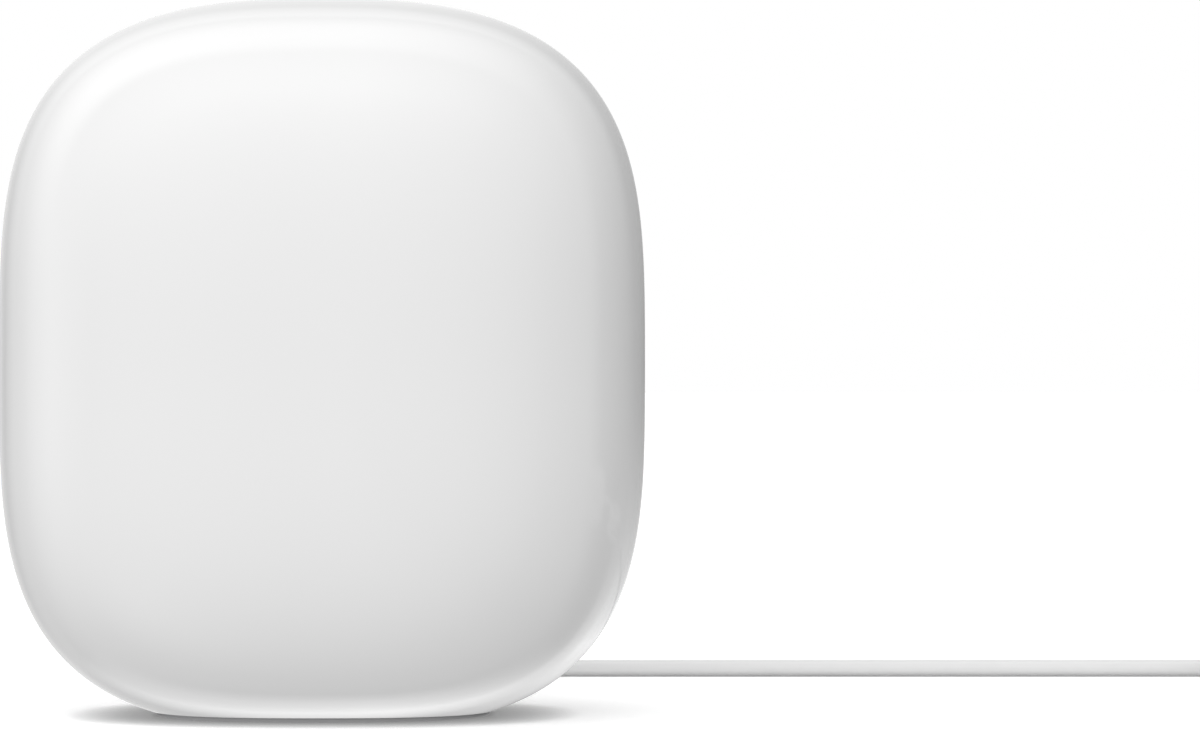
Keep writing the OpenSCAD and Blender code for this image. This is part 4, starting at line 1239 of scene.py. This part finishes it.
led_low, led_high = box_mm("status_led")
led = joined(
    block((led_low.x, led_low.y + 0.25, led_low.z), (led_high.x, led_high.y, led_high.z), 0.06, 0.1),
    plate([rounded(1.5, 1.1, 0.3, (0, (led_low.z + led_high.z) / 2), 5)], led_low.y, led_high.y - 0.5, 0.15),
)
piece("status_led_moulded", led, "led_clear", "status_led")
pipe_low = box_mm("light_pipe")[0]
PIPE_Z = pipe_low.z + 4
pipe = [(0.1, pipe_low.y), (0.9, pipe_low.y + 0.12), (1.5, pipe_low.y + 0.4), (1.9, pipe_low.y + 0.85),
        (2.0, pipe_low.y + 1.3), (2.0, -12), (2.15, -8), (2.5, -4.0), (2.5, -3.4), (0.1, -3.4)]
flange = plate([rounded(10, 8, 1.2, (0, PIPE_Z), 6)], -4.0, -2.9, 0.15)
legs = [lathe([(0.8, -3.1), (0.8, -2.15), (0.65, -2.0)], (x, 0, 14.8), segments=24) for x in (-4, 4)]
piece("light_pipe_moulded", joined(lathe(pipe, (0, 0, 17.7), segments=40), flange, *legs), "pipe_clear",
      "light_pipe")

# ---- power and network parts on the board's back

coils = []
for z in (36, 45.5):
    core = plate([rounded(7.5, 7.4, 1.4, (23.75, z), 6)], board_high.y, 3.4, 0.3)
    lid = plate([rounded(6.7, 6.6, 2.2, (23.75, z), 6), circle(1.5, (23.75, z), 32)], 3.2, 3.8, 0.12)
    coils.append(joined(core, lid))
piece("power_inductors_pressed", joined(*coils), "ferrite", "power_inductors")
cans = []
can = [(0.1, -0.4), (3.9, -0.4), (4.0, -0.25), (4.0, 0.5), (3.86, 0.7), (3.72, 0.95), (3.72, 1.15),
       (3.86, 1.4), (4.0, 1.6), (4.0, 7.55), (3.9, 7.85), (3.65, 8.0), (3.3, 8.0), (3.2, 7.9), (0.1, 7.85)]
for z in (36, 46):
    cans.append(lathe(can, (-26, 0, z), segments=48))
    for turn in (0, 60, 120):
        u, v = math.cos(math.radians(turn)), math.sin(math.radians(turn))
        cans.append(tube([(-26 - 2.6 * u, 7.86, z - 2.6 * v), (-26 + 2.6 * u, 7.86, z + 2.6 * v)], 0.1, 8))
piece("bulk_capacitors_crimped", joined(*cans), "can_aluminium", "bulk_capacitors")
bodies, pins = [], []
for x in (WAN_X + 2, LAN_X + 2):
    bodies.append(block((x - 6.1, 0.0, 31.2), (x + 6.1, 4.2, 48.8), 0.35, 0.5))
    for i in range(8):
        z = 32.9 + i * 2.03
        for side in (-1, 1):
            line = [(x + side * 6.0, 2.0, z), (x + side * 6.35, 1.9, z), (x + side * 6.5, 0.2, z),
                    (x + side * 6.98, -0.16, z)]
            pins.append(tube(line, 0.22, 8))
piece("network_transformers_moulded", joined(*bodies), "chip_black", "network_transformers")
piece("network_transformer_pins", joined(*pins), "tin_plate")

# ---- inside the wall adapter

ab_low, ab_high = box_mm("adapter_board")
at_low, at_high = box_mm("adapter_transformer")
ac_low, ac_high = box_mm("adapter_capacitor")
board_shape = rounded(ab_high.x - ab_low.x, ab_high.y - ab_low.y, 2.5, (CASE[0], CASE[1]), 6)
piece("adapter_board_pressed", plate([board_shape], ab_low.z, ab_high.z, 0.06, "xy"), "board_green",
      "adapter_board", body="power_lead")
mid_y = (at_low.y + at_high.y) / 2
wound = [plate([rounded(17.0, 11.0, 2.5, (CASE[0], mid_y), 6)], at_low.z + 1.2, at_high.z - 1.2, 0.4, "xy")]
for z in (at_low.z + 0.7, at_high.z - 0.7):
    wound.append(plate([rounded(18.0, 13.0, 1.5, (CASE[0], mid_y), 5)], z - 0.7, z + 0.7, 0.2, "xy"))
piece("adapter_transformer_wound", joined(*wound), "winding", "adapter_transformer", body="power_lead")
core = []
for side in (-1, 1):
    low_y, high_y = sorted((mid_y + side * 6.6, mid_y + side * 10))
    core.append(block((CASE[0] - 6.5, low_y, at_low.z + 1.5), (CASE[0] + 6.5, high_y, at_high.z - 1.5), 0.3,
                      0.4))
piece("adapter_transformer_core", joined(*core), "ferrite", body="power_lead")
cx, cy = (ac_low.x + ac_high.x) / 2, (ac_low.y + ac_high.y) / 2
z0, z1 = ac_low.z, ac_high.z
can = [(0.1, z0), (4.7, z0), (4.95, z0 + 0.2), (5.0, z0 + 0.5), (5.0, z0 + 1.2), (4.6, z0 + 1.6),
       (4.6, z0 + 1.9), (5.0, z0 + 2.3), (5.0, z1 - 0.4), (4.8, z1 - 0.08), (4.4, z1), (4.2, z1 - 0.15),
       (0.1, z1 - 0.2)]
piece("adapter_capacitor_crimped", lathe(can, (cx, cy, 0), "z"), "can_aluminium", "adapter_capacitor",
      body="power_lead")


# ---- floor and light

# The router is lit from all round, as on a glass table. The floor's shadow is painted shade, made in its
# colour from how closed in it is, and the floor is opaque to light under the cord alone.
UNDER_CORD = (0.086, 0.106)
# Reach and darkest grey of the painted contact shadow on the floor
CONTACT_REACH = 0.0078
CONTACT_SHADE = 0.06
FLOOR_GLOW = 0.2
floor_look = material("floor_paper", 0.9, 0.6, spec=0.2, tint=0.89, tint_scale=3, grain=0.0)
floor_tree = floor_look.node_tree
# painted contact shadow: the floor's colour darkens towards CONTACT_SHADE where the router closes it in
contact = add_node(floor_tree, "AmbientOcclusion", {"Distance": CONTACT_REACH}, samples=12)
painted_shadow_colour = add_node(floor_tree, "Mix", data_type="RGBA")
set_inputs(floor_tree, painted_shadow_colour, {
    "A": (CONTACT_SHADE, CONTACT_SHADE, CONTACT_SHADE, 1), "B": (1.0, 1.0, 1.0, 1),
    "Factor": contact.outputs["AO"],
})
set_inputs(floor_tree, floor_tree.nodes["Principled BSDF"], {
    "Base Color": painted_shadow_colour.outputs["Result"], "Emission Color": (1, 1, 1, 1), "Emission Strength": FLOOR_GLOW,
})
strips = (("floor_front", -3, UNDER_CORD[0]), ("floor_under_cord", *UNDER_CORD),
          ("floor_back", UNDER_CORD[1], 9))
for name, near, far in strips:
    floor_data = bpy.data.meshes.new(name)
    floor_data.from_pydata([(-6, near, 0), (6, near, 0), (6, far, 0), (-6, far, 0)], [], [(0, 1, 2, 3)])
    floor_data.materials.append(floor_look)
    floor = bpy.data.objects.new(name, floor_data)
    bpy.context.scene.collection.objects.link(floor)
    floor.visible_diffuse = floor.visible_shadow = name == "floor_under_cord"
    floor.visible_glossy = floor.visible_transmission = False
world = bpy.data.worlds.new("studio")
bpy.context.scene.world = world
world.use_nodes = True
sky = world.node_tree


def wmath(kind, *values):
    return add_node(sky, "Math", dict(enumerate(values)), operation=kind).outputs[0]


direction = add_node(sky, "TexCoord").outputs["Generated"]
dx, dy, dz = add_node(sky, "SeparateXYZ", {"Vector": direction}).outputs

# The studio's soft light: a strength at each depth from front to back (FROM_FRONT, the Y of a direction), for
# each turn about the Y axis: 0 degrees is the right, 90 overhead, 180 the left, 270 below
FROM_FRONT = (-1, -0.5, -0.1, -0.01, 0.03, 0.18, 0.36, 0.54, 0.6, 0.8, 1)
STUDIO = {
    0: (1.06, 0.64, 0.76, 0.80, 0.57, 0.10, 0.10, 0.10, 0.10, 0.10, 0.31),
    45: (1.15, 1.05, 0.71, 0.85, 0.82, 0.59, 0.31, 0.36, 0.50, 0.10, 0.60),
    90: (1.18, 2.05, 1.19, 1.54, 1.79, 1.81, 1.52, 0.64, 0.98, 0.46, 1.01),
    135: (1.22, 1.25, 0.53, 1.46, 1.90, 1.97, 1.22, 0.58, 0.93, 0.57, 1.00),
    180: (1.08, 0.62, 1.47, 1.32, 1.20, 0.83, 0.31, 0.24, 0.31, 0.10, 0.97),
    225: (1.13, 1.31, 0.20, 0.20, 0.20, 0.20, 0.20, 0.20, 0.41, 0.61, 0.99),
    270: (1.19, 0.66, 0.20, 0.20, 0.20, 0.10, 2.07, 3.09, 3.25, 0.40, 0.28),
    315: (1.02, 0.20, 0.20, 0.20, 0.20, 0.10, 0.10, 0.71, 1.53, 2.17, 1.06),
}
BRIGHTEST = 4.0
TURN = 45
turn_about = wmath("ARCTAN2", dz, dx)
depth = wmath("MULTIPLY_ADD", dy, 0.5, 0.5)
total = 0.0
for degrees, strengths in STUDIO.items():
    middle = math.radians(degrees if degrees <= 180 else degrees - 360)
    off = wmath("ABSOLUTE", wmath("SUBTRACT", turn_about, middle))
    apart = wmath("MINIMUM", off, wmath("SUBTRACT", 2 * math.pi, off))
    share = wmath("MAXIMUM", 0.0, wmath("SUBTRACT", 1.0, wmath("DIVIDE", apart, math.radians(TURN))))
    ramp = add_node(sky, "ValToRGB", {"Fac": depth})
    stops = ramp.color_ramp.elements
    stops.remove(stops[1])
    for i, (place, strength) in enumerate(zip(FROM_FRONT, strengths)):
        stop = stops.new((place + 1) / 2) if i else stops[0]
        stop.position = (place + 1) / 2
        stop.color = (*[strength / BRIGHTEST] * 3, 1)
    total = wmath("ADD", total, wmath("MULTIPLY", share, wmath("MULTIPLY", ramp.outputs["Color"], BRIGHTEST)))
# The camera itself sees plain white
seen = add_node(sky, "LightPath").outputs["Is Camera Ray"]
strength = add_node(sky, "Mix", {0: seen, 2: total, 3: 1.0}, data_type="FLOAT").outputs[0]
set_inputs(sky, sky.nodes["Background"], {"Strength": strength, "Color": (1, 1, 1, 1)})
bpy.context.scene.view_settings.view_transform = "Standard"
